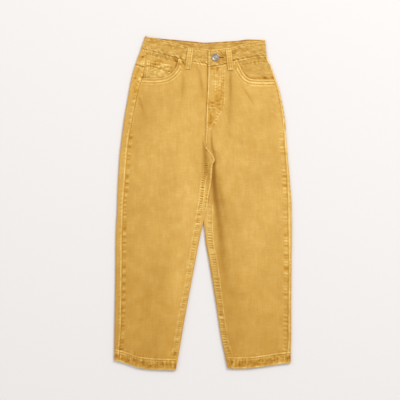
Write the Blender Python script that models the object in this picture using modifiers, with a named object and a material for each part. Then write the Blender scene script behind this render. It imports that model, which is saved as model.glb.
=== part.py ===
"""Balloon jeans for a child of about seven, lying flat with the front up, as separate pieces of denim.

Right and left are the wearer's, so the right leg is at -X. Y runs from the hems to the waist, and Z is
up from the surface that the jeans lie on. Sizes are in millimetres until a mesh is made.
"""

import math

import bmesh
import bpy

MM = 0.001

# Cloth
WALL = 1.1  # washed denim
FACING_WALL = 0.9  # hip facing and coin pocket, of the same denim worn thinner
BAND_WALL = 2.4  # waistband, folded double round its stiffening
LOOP_WALL = 1.8  # belt loop, folded in three
HEM_WALL = 2.3  # hem, turned up twice
HEM_DEPTH = 22.0
HEM_RISE = 0.7  # how much higher the front side lies on its turned-up hem
GAP = 0.3  # kept between pieces that meet
TURNED_GAP = 0.9  # where a seam is turned in under the waistband or the yoke
CROTCH_GAP = 3.4  # where four pieces meet at the crotch

# How high the outer face lies above the surface
FACE = 6.1
PRESSED = 3.0  # the left leg where the right leg's lap lies on it
LAP_UNDERSIDE = 3.3
BAND_FACE = 6.6
UNDERLAP_FACE = 5.4
OVERLAP_FACE = 8.5

# Folded edges
FOLD_REACH = 3.2  # how far a side fold rounds away in plan
BAND_REACH = 3.4
INNER_REACH = 1.4  # the pressed folds beside the crotch
SIDE_SHARE = 0.7  # of the wrap on the front side, the most that a side fold takes

# Crotch, and the right leg's lap on the left leg
CROTCH_Y = 132.9  # between the last row with a centre seam and the first with an inner fold
CENTRE = 5.6  # X of the centre seams, front and back
CROTCH_SPREAD = 30.0  # the seams close up over this height below the crotch
CLIMB = 10.0  # plan length of the climb onto the left leg
CLIMB_SHARE = 0.75  # of the columns beside the inner fold, those on the climb
LAP_END_Y = 14.3  # from here down the right leg returns to the surface
LAP_FADE = 14.0  # over this height
INNER_STRETCH = 12.0  # of the underside, beside an inner fold
CENTRE_STRETCH = 7.0  # of the underside, beside the centre seam at the crotch
CENTRE_SPREAD = 0.3  # added to it for each millimetre above the crotch

# Levels at which the columns of a leg are read
BAND_ROW_Y = 350.0
FACING_ROW_Y = 335.0
WAIST_ROW_Y = 320.0
TOP_ROW_Y = 237.4  # from here down the rows of a leg are level
HEM_ROW_Y = -375.0

# Fly
UNDERLAP_X = 30.0  # how far the right front runs on under the fly
FLY_END_Y = 168.0
FLY_LENGTH = 145.0
FLY_FOOT_X = 7.2  # the fly's folded edge at its lower end
FLY_SLANT = 4.8  # how much further left its upper end lies
RISE_Y = 150.0  # where the folded edge has run into the front seam
RISE_LENGTH = 18.0
UNDERLAP_TAPER = 37.0  # the underlap narrows away over this height above the fly's end
FLY_SINK = WALL + GAP + 0.3  # how much lower the right front lies under the fly
SINK_START = 16.0  # to the right of the folded edge
SINK_SLOPE = 13.0
SINK_HEIGHT = 14.0
FLY_LIFT = 1.0  # how much higher the left front lies below the overlap of the waistband
LIFT_END_X = 80.0
LIFT_SLOPE = 30.0
LIFT_START_Y = 230.0
LIFT_HEIGHT = 80.0

# Button and buttonhole
BUTTON_X = 28.5
BUTTON_Y = 334.2
SHANK_RADIUS = 2.7
EYELET_RADIUS = 3.1
SLIT_END_X = 47.6
SLIT_WIDTH = 1.4
CUT_FLOOR = 5.7
SHANK_FOOT = UNDERLAP_FACE + 0.4
CAP_UNDERSIDE = OVERLAP_FACE + 0.4
CAP_TOP = OVERLAP_FACE + 3.1
CAP_UNDERSIDE_RADIUS = 7.8
CAP_PROFILE = (  # radius, depth below the top: a raised centre, a pressed ring and a rolled rim
    (0.0, 0.0),
    (1.5, 0.05),
    (2.3, 0.7),
    (5.5, 0.8),
    (6.3, 0.1),
    (7.4, 0.0),
    (8.3, 0.6),
    (8.5, 1.5),
)

# Belt loops
LOOP_WIDTH = 13.0
LOOP_HUMP = 0.9
LOOP_ARCH = 0.85  # of the loop's length, the part that arches over the waistband
LOOP_FOOT = 0.8  # where the foot begins
LOOP_STEP = 0.6  # how far the foot drops from the waistband to the front at most
RIGHT_LOOP = ((-28.2, 356.4), (-34.8, 308.0))  # middle of its upper and lower end
LEFT_LOOP = ((57.9, 354.4), (63.4, 305.0))

# How finely the pieces are divided
FRONT_COLUMNS = 14
MOUTH_COLUMNS = 7  # of them, those that start on the pocket mouth
FRONT_CROWDING = 1.35  # above 1 the columns stand closer towards the inseam
SEAM_ROWS = 3  # between the yoke seam or the pocket mouth and the first level row
YOKE_ROWS = 3
FACING_ROWS = 6
FACING_COLUMNS = 8
COIN_ROWS = 5
COIN_COLUMNS = 6
FOLD_STEPS = 6
BAND_ROWS = 3
BAND_COLUMNS_RIGHT = 11
BAND_COLUMNS_BACK = 12
BAND_COLUMNS_LEFT = 10
LOOP_ROWS = 8
LOOP_COLUMNS = 3
EYELET_STEPS = 16
BUTTON_STEPS = 24
CURVE_STEPS = 8

DENIM = (0.70, 0.41, 0.11)
DENIM_WORN = (0.76, 0.48, 0.16)
PEWTER = (0.36, 0.34, 0.32)


class Table:
    """Rows of named columns, read at any place with a smooth curve that never overshoots its rows."""

    def __init__(self, names, *rows):
        self.names = names.split()
        self.rows = sorted(rows)
        self.places = [row[0] for row in self.rows]
        self.slopes = [self._slopes(column) for column in range(len(self.names))]

    def _slopes(self, column):
        steps = []
        for low, high in zip(self.rows, self.rows[1:]):
            steps.append((high[column] - low[column]) / (high[0] - low[0]))
        inner = []
        for before, after in zip(steps, steps[1:]):
            level = before * after <= 0
            inner.append(0.0 if level else 2 * before * after / (before + after))
        return [steps[0], *inner, steps[-1]]

    def read(self, name, place):
        column = self.names.index(name)
        if place <= self.places[0]:
            return self.rows[0][column]
        if place >= self.places[-1]:
            return self.rows[-1][column]
        i = next(k for k in range(len(self.rows) - 1) if place <= self.places[k + 1])
        span = self.places[i + 1] - self.places[i]
        t = (place - self.places[i]) / span
        low, high = self.rows[i][column], self.rows[i + 1][column]
        return (
            low * (2 * t**3 - 3 * t**2 + 1)
            + high * (3 * t**2 - 2 * t**3)
            + self.slopes[column][i] * span * (t**3 - 2 * t**2 + t)
            + self.slopes[column][i + 1] * span * (t**3 - t**2)
        )


# One row for each level of a leg. Above the crotch, inner and inseam both lie on the centre seams.
# side: outer edge. outseam, inseam: seams on the front side. inner: fold between the legs.
# crest: height of the face at the inner fold. hold, reach: where the face leaves and regains its level.
RIGHT_LEG = Table(
    "y side outseam inseam inner crest hold reach",
    (354.0, -142.8, -130.4, 5.6, 5.6, 6.1, 1, 20),
    (334.0, -150.2, -131.3, 5.6, 5.6, 6.1, 1, 20),
    (315.6, -156.6, -134.2, 5.6, 5.6, 6.1, 1, 20),
    (292.6, -163.1, -137.6, 5.6, 5.6, 6.1, 1, 20),
    (264.9, -168.8, -147.6, 5.6, 5.6, 6.1, 1, 20),
    (237.4, -173.6, -153.6, 5.6, 5.6, 6.1, 1, 20),
    (196.0, -180.8, -161.7, 5.6, 5.6, 6.1, 1, 20),
    (134.8, -188.8, -171.8, 5.6, 5.6, 6.1, 1, 20),
    (131.1, -189.3, -172.3, 4.1, 6.2, 6.2, 1, 2),
    (122.4, -190.3, -172.9, -0.4, 14.3, 7.2, 1, 8),
    (114.3, -191.2, -173.5, -1.0, 21.8, 8.1, 1, 12),
    (106.3, -191.8, -174.0, -1.5, 26.2, 8.5, 2, 14),
    (98.2, -192.4, -174.6, -1.6, 28.5, 8.6, 2, 16),
    (90.2, -192.9, -175.1, -1.6, 24.6, 8.5, 2, 15),
    (76.4, -193.8, -176.1, -1.5, 21.0, 8.3, 2, 14),
    (46.5, -195.5, -178.2, -1.0, 17.4, 7.8, 2, 12),
    (14.3, -196.6, -181.0, -3.6, 12.0, 7.2, 1, 12),
    (0.5, -197.0, -182.0, -6.5, 10.0, 6.7, 1, 12),
    (-20.2, -197.8, -182.8, -10.2, 6.8, 6.3, 1, 12),
    (-45.5, -199.4, -183.6, -14.2, 0.2, 6.1, 1, 12),
    (-84.6, -200.7, -184.7, -20.8, -8.3, 6.1, 1, 12),
    (-174.3, -201.5, -185.6, -35.9, -25.3, 6.1, 1, 12),
    (-268.6, -203.1, -186.4, -53.9, -42.8, 6.1, 1, 12),
    (-342.2, -204.1, -191.0, -66.6, -55.2, 6.3, 1, 12),
    (-384.0, -204.4, -192.2, -73.5, -62.6, 6.4, 1, 12),
)
LEFT_LEG = Table(
    "y side outseam inseam inner crest hold reach",
    (354.0, 145.2, 141.8, 5.6, 5.6, 6.1, 1, 20),
    (334.0, 147.4, 143.9, 5.6, 5.6, 6.1, 1, 20),
    (315.6, 155.9, 152.0, 5.6, 5.6, 6.1, 1, 20),
    (292.6, 163.8, 160.0, 5.6, 5.6, 6.1, 1, 20),
    (264.9, 173.6, 169.0, 5.6, 5.6, 6.1, 1, 20),
    (237.4, 180.1, 174.8, 5.6, 5.6, 6.1, 1, 20),
    (196.0, 187.7, 181.2, 5.6, 5.6, 6.1, 1, 20),
    (155.0, 191.0, 184.4, 5.6, 5.6, 6.0, 1, 20),
    (134.8, 192.4, 185.6, 5.6, 5.6, 4.2, 2, 16),
    (131.1, 192.7, 186.0, 9.2, 6.9, 3.0, 3, 16),
    (122.4, 193.4, 186.8, 16.8, 12.4, 3.0, 5, 16),
    (114.3, 194.0, 187.3, 18.4, 12.4, 3.0, 11, 15),
    (98.2, 195.4, 188.3, 19.5, 12.4, 3.0, 17, 15),
    (76.4, 197.6, 189.7, 19.5, 12.4, 3.0, 12, 17),
    (46.5, 199.9, 191.5, 19.4, 12.4, 3.0, 9, 19),
    (23.5, 202.0, 192.6, 19.2, 12.4, 3.0, 8, 20),
    (14.3, 202.7, 192.9, 18.8, 12.7, 3.0, 7, 20),
    (0.5, 203.4, 193.2, 18.2, 10.9, 4.4, 4, 18),
    (-20.2, 204.0, 193.6, 17.3, 7.8, 5.8, 1, 16),
    (-31.7, 204.3, 193.8, 16.8, 5.4, 6.1, 1, 16),
    (-45.5, 204.4, 194.0, 16.8, 4.6, 6.1, 1, 16),
    (-66.0, 204.4, 194.3, 17.2, 3.7, 6.1, 1, 16),
    (-84.6, 204.4, 194.5, 18.4, 5.4, 6.1, 1, 16),
    (-130.6, 203.4, 195.0, 27.0, 13.2, 6.1, 1, 16),
    (-222.6, 202.7, 194.3, 39.2, 28.4, 6.1, 1, 16),
    (-314.6, 202.6, 193.4, 52.0, 42.6, 6.1, 1, 16),
    (-342.2, 201.6, 191.0, 59.6, 48.5, 6.3, 1, 16),
    (-384.0, 201.4, 190.4, 67.0, 57.0, 6.4, 1, 16),
)
RIGHT_HEM = Table(
    "x y",
    (-204.4, -360.6),
    (-182.0, -366.0),
    (-161.0, -373.3),
    (-143.5, -378.6),
    (-108.0, -382.2),
    (-62.6, -383.6),
)
LEFT_HEM = Table(
    "x y",
    (56.0, -378.6),
    (75.0, -379.7),
    (103.0, -379.0),
    (139.6, -374.7),
    (169.0, -370.3),
    (201.6, -366.4),
)

# The waistband's edges. A row of the front or the back is read at X, and z is the height of its outer face.
BAND_RIGHT = Table(
    "x top bottom z",
    (-139.4, 383.6, 354.0, BAND_FACE),
    (-120.0, 380.2, 350.4, BAND_FACE),
    (-99.0, 376.5, 344.6, BAND_FACE),
    (-82.0, 372.6, 339.4, BAND_FACE),
    (-64.6, 368.0, 335.4, BAND_FACE),
    (-46.0, 362.9, 329.4, BAND_FACE),
    (-20.0, 357.2, 324.6, 6.4),
    (2.0, 354.3, 321.0, UNDERLAP_FACE),
    (46.0, 352.6, 315.0, UNDERLAP_FACE),
)
BAND_LEFT = Table(
    "x top bottom z",
    (12.0, 351.0, 312.8, OVERLAP_FACE),
    (30.0, 352.8, 315.4, OVERLAP_FACE),
    (48.0, 354.7, 318.8, OVERLAP_FACE),
    (64.0, 357.0, 325.4, 7.3),
    (78.0, 361.6, 329.9, BAND_FACE),
    (94.0, 366.2, 332.8, BAND_FACE),
    (116.6, 370.5, 337.2, BAND_FACE),
    (142.4, 374.6, 339.7, BAND_FACE),
)
BAND_BACK = Table(
    "x top bottom",
    (-139.4, 383.6, 354.0),
    (-100.0, 378.4, 344.0),
    (-60.0, 374.9, 338.6),
    (-18.0, 370.9, 334.6),
    (4.4, 369.0, 333.0),
    (25.0, 369.8, 333.6),
    (72.0, 372.8, 336.6),
    (109.0, 376.1, 339.6),
    (142.4, 374.6, 339.7),
)
BAND_RIGHT_FOLD = (-132.9, -142.8)  # X of the folded edge at the band's top and bottom
BAND_LEFT_FOLD = (142.4, 145.9)

# The yoke seam: where it leaves the outseam, crosses the folded edge, and meets the centre back
YOKE_AT_OUTSEAM = 312.8
YOKE_AT_FOLD = 319.9
YOKE_AT_CENTRE = 275.0
YOKE_RISE = 0.8  # share of its climb on the front side that it makes before the folded edge
YOKE_BEND = 1.3  # above 1 it leaves the folded edge more level and falls more steeply to the centre

# Pocket mouths, from the outseam to the waist seam
RIGHT_MOUTH = (
    (-136.0, 287.0),
    (-119.0, 286.2),
    (-98.0, 287.6),
    (-82.8, 291.4),
    (-70.6, 300.0),
    (-61.6, 312.0),
    (-56.4, 331.6),
)
LEFT_MOUTH = (
    (160.6, 284.0),
    (130.0, 284.0),
    (111.0, 284.9),
    (100.6, 290.3),
    (92.6, 299.6),
    (85.6, 312.6),
    (77.6, 328.6),
)
FACING_BOTTOM = 262.0
FACING_PAST_MOUTH = 9.0
COIN_CORNERS = ((-129.0, 328.2), (-71.5, 316.7), (-131.4, 270.0), (-80.0, 270.0))

# Folds: each is a row of places with the half width and depth of its trough there
FOLDS = {
    "thigh trough": (
        (30.0, 28.0, 9, 0.0),
        (33.5, 6.0, 9, 2.4),
        (37.5, -27.0, 10, 2.4),
        (40.6, -66.0, 10, 2.0),
        (45.8, -114.5, 10, 1.5),
        (47.0, -146.0, 11, 0.7),
        (62.0, -176.0, 12, 0.0),
    ),
    "left front, beside the fly": (
        (64.0, 306.0, 8, 0.0),
        (64.5, 270.0, 8, 0.9),
        (62.5, 200.0, 9, 0.8),
        (58.6, 158.0, 9, 0.0),
    ),
    "left front, across the hip": (
        (71.0, 304.0, 7, 0.3),
        (94.0, 258.0, 8, 0.9),
        (116.0, 226.0, 9, 0.0),
    ),
    "right front, beside the fly": (
        (-7.0, 310.0, 7, 0.5),
        (-5.5, 270.0, 8, 0.8),
        (-6.0, 235.0, 8, 0.0),
    ),
    "right front, down the thigh": (
        (-49.0, 300.0, 8, 0.4),
        (-46.0, 262.0, 9, 0.9),
        (-43.0, 222.0, 9, 0.0),
    ),
    "crotch crease": (
        (16.5, 166.0, 4, 0.0),
        (19.0, 148.0, 4, 1.0),
        (21.5, 126.0, 5, 0.8),
        (24.0, 108.0, 5, 0.0),
    ),
    "lap trough": (
        (4.6, 132.0, 4, 0.3),
        (5.6, 112.0, 5, 2.0),
        (5.6, 74.0, 5, 1.8),
        (4.0, 50.0, 5, 0.0),
    ),
}

LEVEL_ROWS = (
    TOP_ROW_Y,
    205.0,
    180.0,
    168.0,
    150.0,
    134.8,
    131.1,
    122.4,
    114.3,
    98.2,
    76.4,
    46.5,
    30.0,
    14.3,
    0.5,
    -20.2,
    -45.5,
    -84.6,
    -130.6,
    -174.3,
    -222.6,
    -268.6,
)
HEM_ROWS = (  # height above the hem's edge, and share of the hem's rise there
    (HEM_DEPTH + 3, 0.0),
    (HEM_DEPTH, 1.0),
    (HEM_DEPTH - 4, 1.0),
    (HEM_DEPTH / 2, 0.6),
    (2.0, 1.0),
    (0.0, 0.4),
)
THICK_ROWS = len(HEM_ROWS) - 1


class Leg:
    """One side of the garment. toward is +1 where the inner fold lies at a larger X than the side."""

    def __init__(self, side_name, table, hem, mouth, toward):
        self.side_name = side_name
        self.table = table
        self.hem = hem
        self.mouth = mouth
        self.toward = toward

    def at(self, column, y):
        return self.table.read(column, y)

    def face(self, x, y):
        """Height of the outer face: its level, its folds, and the crest or dip at the inner fold."""
        level = max(FACE - folded_depth(x, y), PRESSED)
        distance = (self.at("inner", y) - x) * self.toward - self.at("hold", y)
        return mix(self.at("crest", y), level, ease(distance / self.at("reach", y)))


RIGHT = Leg("right", RIGHT_LEG, RIGHT_HEM, RIGHT_MOUTH, 1)
LEFT = Leg("left", LEFT_LEG, LEFT_HEM, LEFT_MOUTH, -1)


def seam_gap(y):
    """Gap between a front and a back along the inseam, wider just below the crotch."""
    return mix(CROTCH_GAP, GAP, ease((CROTCH_Y - y) / CROTCH_SPREAD))


def mix(low, high, share):
    return low + (high - low) * share


def ease(share):
    share = min(max(share, 0.0), 1.0)
    return share * share * (3 - 2 * share)


def shares(count):
    """0 to 1 in so many equal steps."""
    return [k / count for k in range(count + 1)]


def folded_depth(x, y):
    """How far all folds together lower the face at a place."""
    return sum(fold_depth(stations, x, y) for stations in FOLDS.values())


def fold_depth(stations, x, y):
    deepest = 0.0
    for start, end in zip(stations, stations[1:]):
        run = (end[0] - start[0], end[1] - start[1])
        reach = ((x - start[0]) * run[0] + (y - start[1]) * run[1]) / (run[0] ** 2 + run[1] ** 2)
        share = min(max(reach, 0.0), 1.0)
        away = math.hypot(x - mix(start[0], end[0], share), y - mix(start[1], end[1], share))
        width = mix(start[2], end[2], share)
        deepest = max(deepest, mix(start[3], end[3], share) * math.exp(-((away / width) ** 2)))
    return deepest


def spaced_along(points, count):
    """Points at equal steps along the smooth curve through the given ones."""
    ends = [points[0], *points, points[-1]]
    fine = []
    for before, start, end, after in zip(ends, ends[1:], ends[2:], ends[3:]):
        for t in shares(CURVE_STEPS)[:-1]:
            fine.append(tuple(catmull_rom(before[i], start[i], end[i], after[i], t) for i in (0, 1)))
    fine.append(points[-1])
    lengths = [0.0]
    for start, end in zip(fine, fine[1:]):
        lengths.append(lengths[-1] + math.dist(start, end))
    found = []
    for share in shares(count):
        goal = share * lengths[-1]
        i = next(k for k in range(len(fine) - 1) if goal <= lengths[k + 1] + 1e-9)
        t = (goal - lengths[i]) / (lengths[i + 1] - lengths[i])
        found.append((mix(fine[i][0], fine[i + 1][0], t), mix(fine[i][1], fine[i + 1][1], t)))
    return found


def catmull_rom(before, start, end, after, t):
    square = 2 * before - 5 * start + 4 * end - after
    cube = 3 * (start - end) + after - before
    return start + 0.5 * t * (end - before + t * (square + t * cube))


# ---------------------------------------------------------------- pieces from grids of points


def material(name, colour, roughness=0.9, metallic=0.0):
    made = bpy.data.materials.new(name)
    made.use_nodes = True
    shader = made.node_tree.nodes["Principled BSDF"]
    shader.inputs["Base Color"].default_value = (*colour, 1.0)
    shader.inputs["Roughness"].default_value = roughness
    shader.inputs["Metallic"].default_value = metallic
    return made


def add_object(name, mesh, collection, colour, roughness=0.9, metallic=0.0):
    made = bpy.data.objects.new(name, mesh)
    collection.objects.link(made)
    mesh.materials.append(material(name, colour, roughness, metallic))
    return made


def cloth(name, grid, collection, wall=WALL, thick_rows=0, thick_wall=HEM_WALL, colour=DENIM):
    """A wall of cloth inside the grid of its outer points, thick_wall thick in the last thick_rows rows."""
    shape = bmesh.new()
    rows = [[shape.verts.new([v * MM for v in point]) for point in row] for row in grid]
    for upper, lower in zip(rows, rows[1:]):
        for k in range(len(upper) - 1):
            shape.faces.new((upper[k], upper[k + 1], lower[k + 1], lower[k]))
    shape.normal_update()
    shape.faces.ensure_lookup_table()
    if shape.faces[0].normal.z < 0:
        bmesh.ops.reverse_faces(shape, faces=shape.faces)
    mesh = bpy.data.meshes.new(name)
    shape.to_mesh(mesh)
    shape.free()
    made = add_object(name, mesh, collection, colour)
    solid = made.modifiers.new("Wall", "SOLIDIFY")
    solid.offset = -1
    solid.use_even_offset = True
    solid.use_quality_normals = True
    solid.thickness = wall * MM
    if thick_rows:
        width = len(grid[0])
        first = (len(grid) - thick_rows) * width
        group = made.vertex_groups.new(name="Thick")
        group.add(list(range(first, len(grid) * width)), 1.0, "REPLACE")
        solid.thickness = thick_wall * MM
        solid.vertex_group = group.name
        solid.thickness_vertex_group = wall / thick_wall
    mesh.shade_smooth()
    return made


def half_round(t):
    """Outward and upward share of a folded edge, from its top at t 0 to its bottom at t 1."""
    return math.sin(math.pi * t), (1 + math.cos(math.pi * t)) / 2


# ---------------------------------------------------------------- back panels and yokes


def underside(leg, x, y):
    """Height of the back's outer face: on the surface, but raised where the right leg laps over the left."""
    if leg is LEFT or y > CROTCH_Y:
        return 0.0
    top = LEFT.at("inner", y) - GAP
    raised = LAP_UNDERSIDE * (1 - ease((LAP_END_Y - y) / LAP_FADE))
    return raised * ease((x - (top - CLIMB)) / CLIMB)


def side_fold(leg, t, y):
    side, outseam = leg.at("side", y), leg.at("outseam", y)
    reach = min(FOLD_REACH, SIDE_SHARE * abs(side - outseam))
    turn_x = side + leg.toward * reach
    out, up = half_round(t)
    return turn_x - leg.toward * reach * out, leg.face(turn_x, y) * up


def outer_lap(leg, t, y):
    turn_x = side_fold(leg, 0, y)[0]
    x = mix(leg.at("outseam", y) - leg.toward * GAP / 2, turn_x, t)
    return x, leg.face(x, y)


def inner_turn(leg, y):
    """X where the inner fold turns, and its reach."""
    tall = leg.at("crest", y) - underside(leg, leg.at("inner", y), y)
    reach = min(max(INNER_REACH, tall / 2), FOLD_REACH)
    return leg.at("inner", y) - leg.toward * reach, reach


def inner_fold(leg, t, y):
    """From the underside round the inner fold to its top."""
    turn_x, reach = inner_turn(leg, y)
    low = underside(leg, leg.at("inner", y), y)
    high = leg.face(turn_x, y)
    out, up = half_round(1 - t)
    return turn_x + leg.toward * reach * out, mix(low, high, up)


def inner_lap(leg, t, y):
    turn_x = inner_turn(leg, y)[0]
    seam = leg.at("inseam", y) + leg.toward * seam_gap(y) / 2
    x = mix(turn_x, seam, t)
    return x, leg.face(x, y)


def floor_stretch(leg, t, y):
    start = side_fold(leg, 1, y)[0]
    end = ramp_start(leg, y)
    return mix(start, end, t), 0.0


def ramp_start(leg, y):
    if y > CROTCH_Y:
        return CENTRE - leg.toward * (GAP / 2 + CENTRE_STRETCH + CENTRE_SPREAD * (y - CROTCH_Y))
    if leg is LEFT:
        return inner_turn(leg, y)[0] + INNER_STRETCH
    lowered = ease((LAP_END_Y - y) / LAP_FADE)
    return min(LEFT.at("inner", y) - GAP - CLIMB, inner_turn(leg, y)[0] - INNER_STRETCH * lowered)


def ramp(leg, t, y):
    """The stretch that climbs onto the left leg, and the flat stretch above it."""
    start, end = ramp_start(leg, y), inner_turn(leg, y)[0]
    if leg is LEFT:
        x = mix(start, end, t)
    elif t <= CLIMB_SHARE:
        x = mix(start, min(LEFT.at("inner", y), end) - GAP, t / CLIMB_SHARE)
    else:
        x = mix(min(LEFT.at("inner", y), end) - GAP, end, (t - CLIMB_SHARE) / (1 - CLIMB_SHARE))
    return x, underside(leg, x, y)


ZONES = (  # across a back from its outseam to its inseam, each with its number of columns
    (outer_lap, 2),
    (side_fold, FOLD_STEPS),
    (floor_stretch, 4),
    (ramp, 4),
    (inner_fold, 5),
    (inner_lap, 5),
)
CENTRE_ZONES = (ramp, inner_fold, inner_lap)


def back_columns():
    """(zone, share in it, share of the way from the floor stretch to the centre seam) for each column."""
    inner_count = sum(count for zone, count in ZONES if zone in CENTRE_ZONES)
    columns = [(outer_lap, 0.0, 0.0)]
    passed = 0
    for zone, count in ZONES:
        for k in range(1, count + 1):
            passed += zone in CENTRE_ZONES
            columns.append((zone, k / count, passed / inner_count))
    return columns


def back_point(leg, column, y):
    zone, t, centre_share = column
    if y > CROTCH_Y and zone in CENTRE_ZONES:
        seam = CENTRE - leg.toward * GAP / 2
        return mix(ramp_start(leg, y), seam, centre_share), y, 0.0
    x, z = zone(leg, t, y)
    return x, y, z


def yoke_seam(leg, column):
    """Y of the yoke seam at a column of the back."""
    zone, t, centre_share = column
    if zone is outer_lap:
        return mix(YOKE_AT_OUTSEAM, YOKE_AT_FOLD, YOKE_RISE * t)
    if zone is side_fold:
        risen = mix(YOKE_RISE, 1.0, math.sin(math.pi * t / 2))
        return mix(YOKE_AT_OUTSEAM, YOKE_AT_FOLD, risen)
    x = back_point(leg, column, YOKE_AT_FOLD)[0]
    side = leg.at("side", YOKE_AT_FOLD)
    return mix(YOKE_AT_FOLD, YOKE_AT_CENTRE, ((x - side) / (CENTRE - side)) ** YOKE_BEND)


def yoke_top(leg, column):
    """Y of the waistband's lower edge at a column of the back."""
    zone, t, _ = column
    front = BAND_RIGHT if leg is RIGHT else BAND_LEFT
    x = back_point(leg, column, BAND_ROW_Y)[0]
    on_front, on_back = front.read("bottom", x), BAND_BACK.read("bottom", x)
    if zone is outer_lap:
        return on_front - GAP
    if zone is side_fold:
        return mix(on_front - GAP, on_back - TURNED_GAP, t)
    return on_back - TURNED_GAP


def hem_lifted(point, share):
    """A point of a hem row, higher on the front side and unchanged on the surface."""
    x, y, z = point
    return x, y, z * (1 + share * HEM_RISE / FACE)


def back_hem_point(leg, column, above, share):
    """A hem row follows the hem's curve."""
    x = back_point(leg, column, HEM_ROW_Y)[0]
    return hem_lifted(back_point(leg, column, leg.hem.read("y", x) + above), share)


def back_panel(leg, collection):
    columns = back_columns()
    grid = []
    for share in shares(SEAM_ROWS)[:-1]:
        row = []
        for column in columns:
            y = mix(yoke_seam(leg, column) - TURNED_GAP, TOP_ROW_Y, share)
            row.append(back_point(leg, column, y))
        grid.append(row)
    for y in LEVEL_ROWS:
        grid.append([back_point(leg, column, y) for column in columns])
    for above, share in HEM_ROWS:
        grid.append([back_hem_point(leg, column, above, share) for column in columns])
    return cloth("back_" + leg.side_name, grid, collection, thick_rows=THICK_ROWS)


def yoke(leg, collection):
    columns = [column for column in back_columns() if column[0] not in CENTRE_ZONES]
    columns += [column for column in back_columns() if column[0] in CENTRE_ZONES][1::4]
    grid = []
    for share in shares(YOKE_ROWS):
        row = []
        for column in columns:
            row.append(back_point(leg, column, mix(yoke_top(leg, column), yoke_seam(leg, column), share)))
        grid.append(row)
    return cloth("yoke_" + leg.side_name, grid, collection)


# ---------------------------------------------------------------- fronts


def fly_edge(y):
    """X of the fly's folded edge, which runs on into the front seam."""
    foot = mix(CENTRE, FLY_FOOT_X, ease((y - RISE_Y) / RISE_LENGTH))
    return foot + FLY_SLANT * ease((y - FLY_END_Y) / FLY_LENGTH)


def centre_edge(leg, y):
    """X of a front's edge at the centre: under the fly, at its fold, at the front seam or at the inseam."""
    if y < CROTCH_Y:
        return leg.at("inseam", y) - leg.toward * seam_gap(y) / 2
    if leg is LEFT:
        return fly_edge(y) + GAP / 2
    return mix(fly_edge(y) - GAP / 2, UNDERLAP_X, ease((y - FLY_END_Y) / UNDERLAP_TAPER))


def front_height(leg, x, y):
    height = leg.face(x, y)
    if leg is RIGHT:
        under = ease((x - fly_edge(y) + SINK_START) / SINK_SLOPE)
        return height - FLY_SINK * under * ease((y - RISE_Y) / SINK_HEIGHT)
    near = ease((LIFT_END_X - x) / LIFT_SLOPE)
    return height + FLY_LIFT * near * ease((y - LIFT_START_Y) / LIFT_HEIGHT)


def front_shares():
    return [1 - (1 - t) ** FRONT_CROWDING for t in shares(FRONT_COLUMNS)]


def front_place(leg, share, y):
    start = leg.at("outseam", y) + leg.toward * GAP / 2
    return mix(start, centre_edge(leg, y), share)


def front_top(leg):
    """Places of the top edge: along the pocket mouth, then along the waist seam."""
    mouth = spaced_along(leg.mouth, MOUTH_COLUMNS)
    band = BAND_RIGHT if leg is RIGHT else BAND_LEFT
    all_shares = front_shares()
    first = all_shares[MOUTH_COLUMNS]
    places = list(mouth)
    for share in all_shares[MOUTH_COLUMNS + 1 :]:
        x = mix(mouth[-1][0], centre_edge(leg, WAIST_ROW_Y), (share - first) / (1 - first))
        places.append((x, band.read("bottom", x) - GAP))
    return places


def front_panel(leg, collection):
    top = front_top(leg)
    grid = []
    for t in shares(SEAM_ROWS)[:-1]:
        row = []
        for (x, y), share in zip(top, front_shares()):
            low_x = front_place(leg, share, TOP_ROW_Y)
            place = (mix(x, low_x, t), mix(y, TOP_ROW_Y, t))
            row.append((*place, front_height(leg, *place)))
        grid.append(row)
    for y in LEVEL_ROWS:
        row = []
        for share in front_shares():
            x = front_place(leg, share, y)
            row.append((x, y, front_height(leg, x, y)))
        grid.append(row)
    for above, lift in HEM_ROWS:
        row = []
        for share in front_shares():
            y = leg.hem.read("y", front_place(leg, share, HEM_ROW_Y)) + above
            x = front_place(leg, share, y)
            row.append(hem_lifted((x, y, front_height(leg, x, y)), lift))
        grid.append(row)
    return cloth("front_" + leg.side_name, grid, collection, thick_rows=THICK_ROWS)


def facing_height(leg, x, y):
    """The hip facing lies under the front, and on the right there is room for the coin pocket between."""
    below = WALL + GAP
    if leg is RIGHT:
        below += FACING_WALL + GAP
    return leg.face(x, y) - below


def hip_facing(leg, collection):
    band = BAND_RIGHT if leg is RIGHT else BAND_LEFT
    far = leg.mouth[-1][0] + leg.toward * FACING_PAST_MOUTH
    grid = []
    for down in shares(FACING_ROWS):
        row = []
        for share in shares(FACING_COLUMNS):
            top_x = mix(leg.at("outseam", FACING_ROW_Y), far, share)
            y = mix(band.read("bottom", top_x) - TURNED_GAP, FACING_BOTTOM, down)
            x = mix(leg.at("outseam", y) + leg.toward * GAP, far, share)
            row.append((x, y, facing_height(leg, x, y)))
        grid.append(row)
    return cloth("hip_facing_" + leg.side_name, grid, collection, wall=FACING_WALL)


def coin_pocket(collection):
    high_left, high_right, low_left, low_right = COIN_CORNERS
    grid = []
    for down in shares(COIN_ROWS):
        row = []
        for share in shares(COIN_COLUMNS):
            x = mix(mix(high_left[0], high_right[0], share), mix(low_left[0], low_right[0], share), down)
            y = mix(mix(high_left[1], high_right[1], share), mix(low_left[1], low_right[1], share), down)
            row.append((x, y, facing_height(RIGHT, x, y) + GAP + FACING_WALL))
        grid.append(row)
    return cloth("coin_pocket", grid, collection, wall=FACING_WALL, colour=DENIM_WORN)


# ---------------------------------------------------------------- waistband, loops and button


def band_column(top, bottom, z):
    """The points across the band, from its upper to its lower edge."""
    return [(mix(top[0], bottom[0], t), mix(top[1], bottom[1], t), z) for t in shares(BAND_ROWS)]


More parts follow.
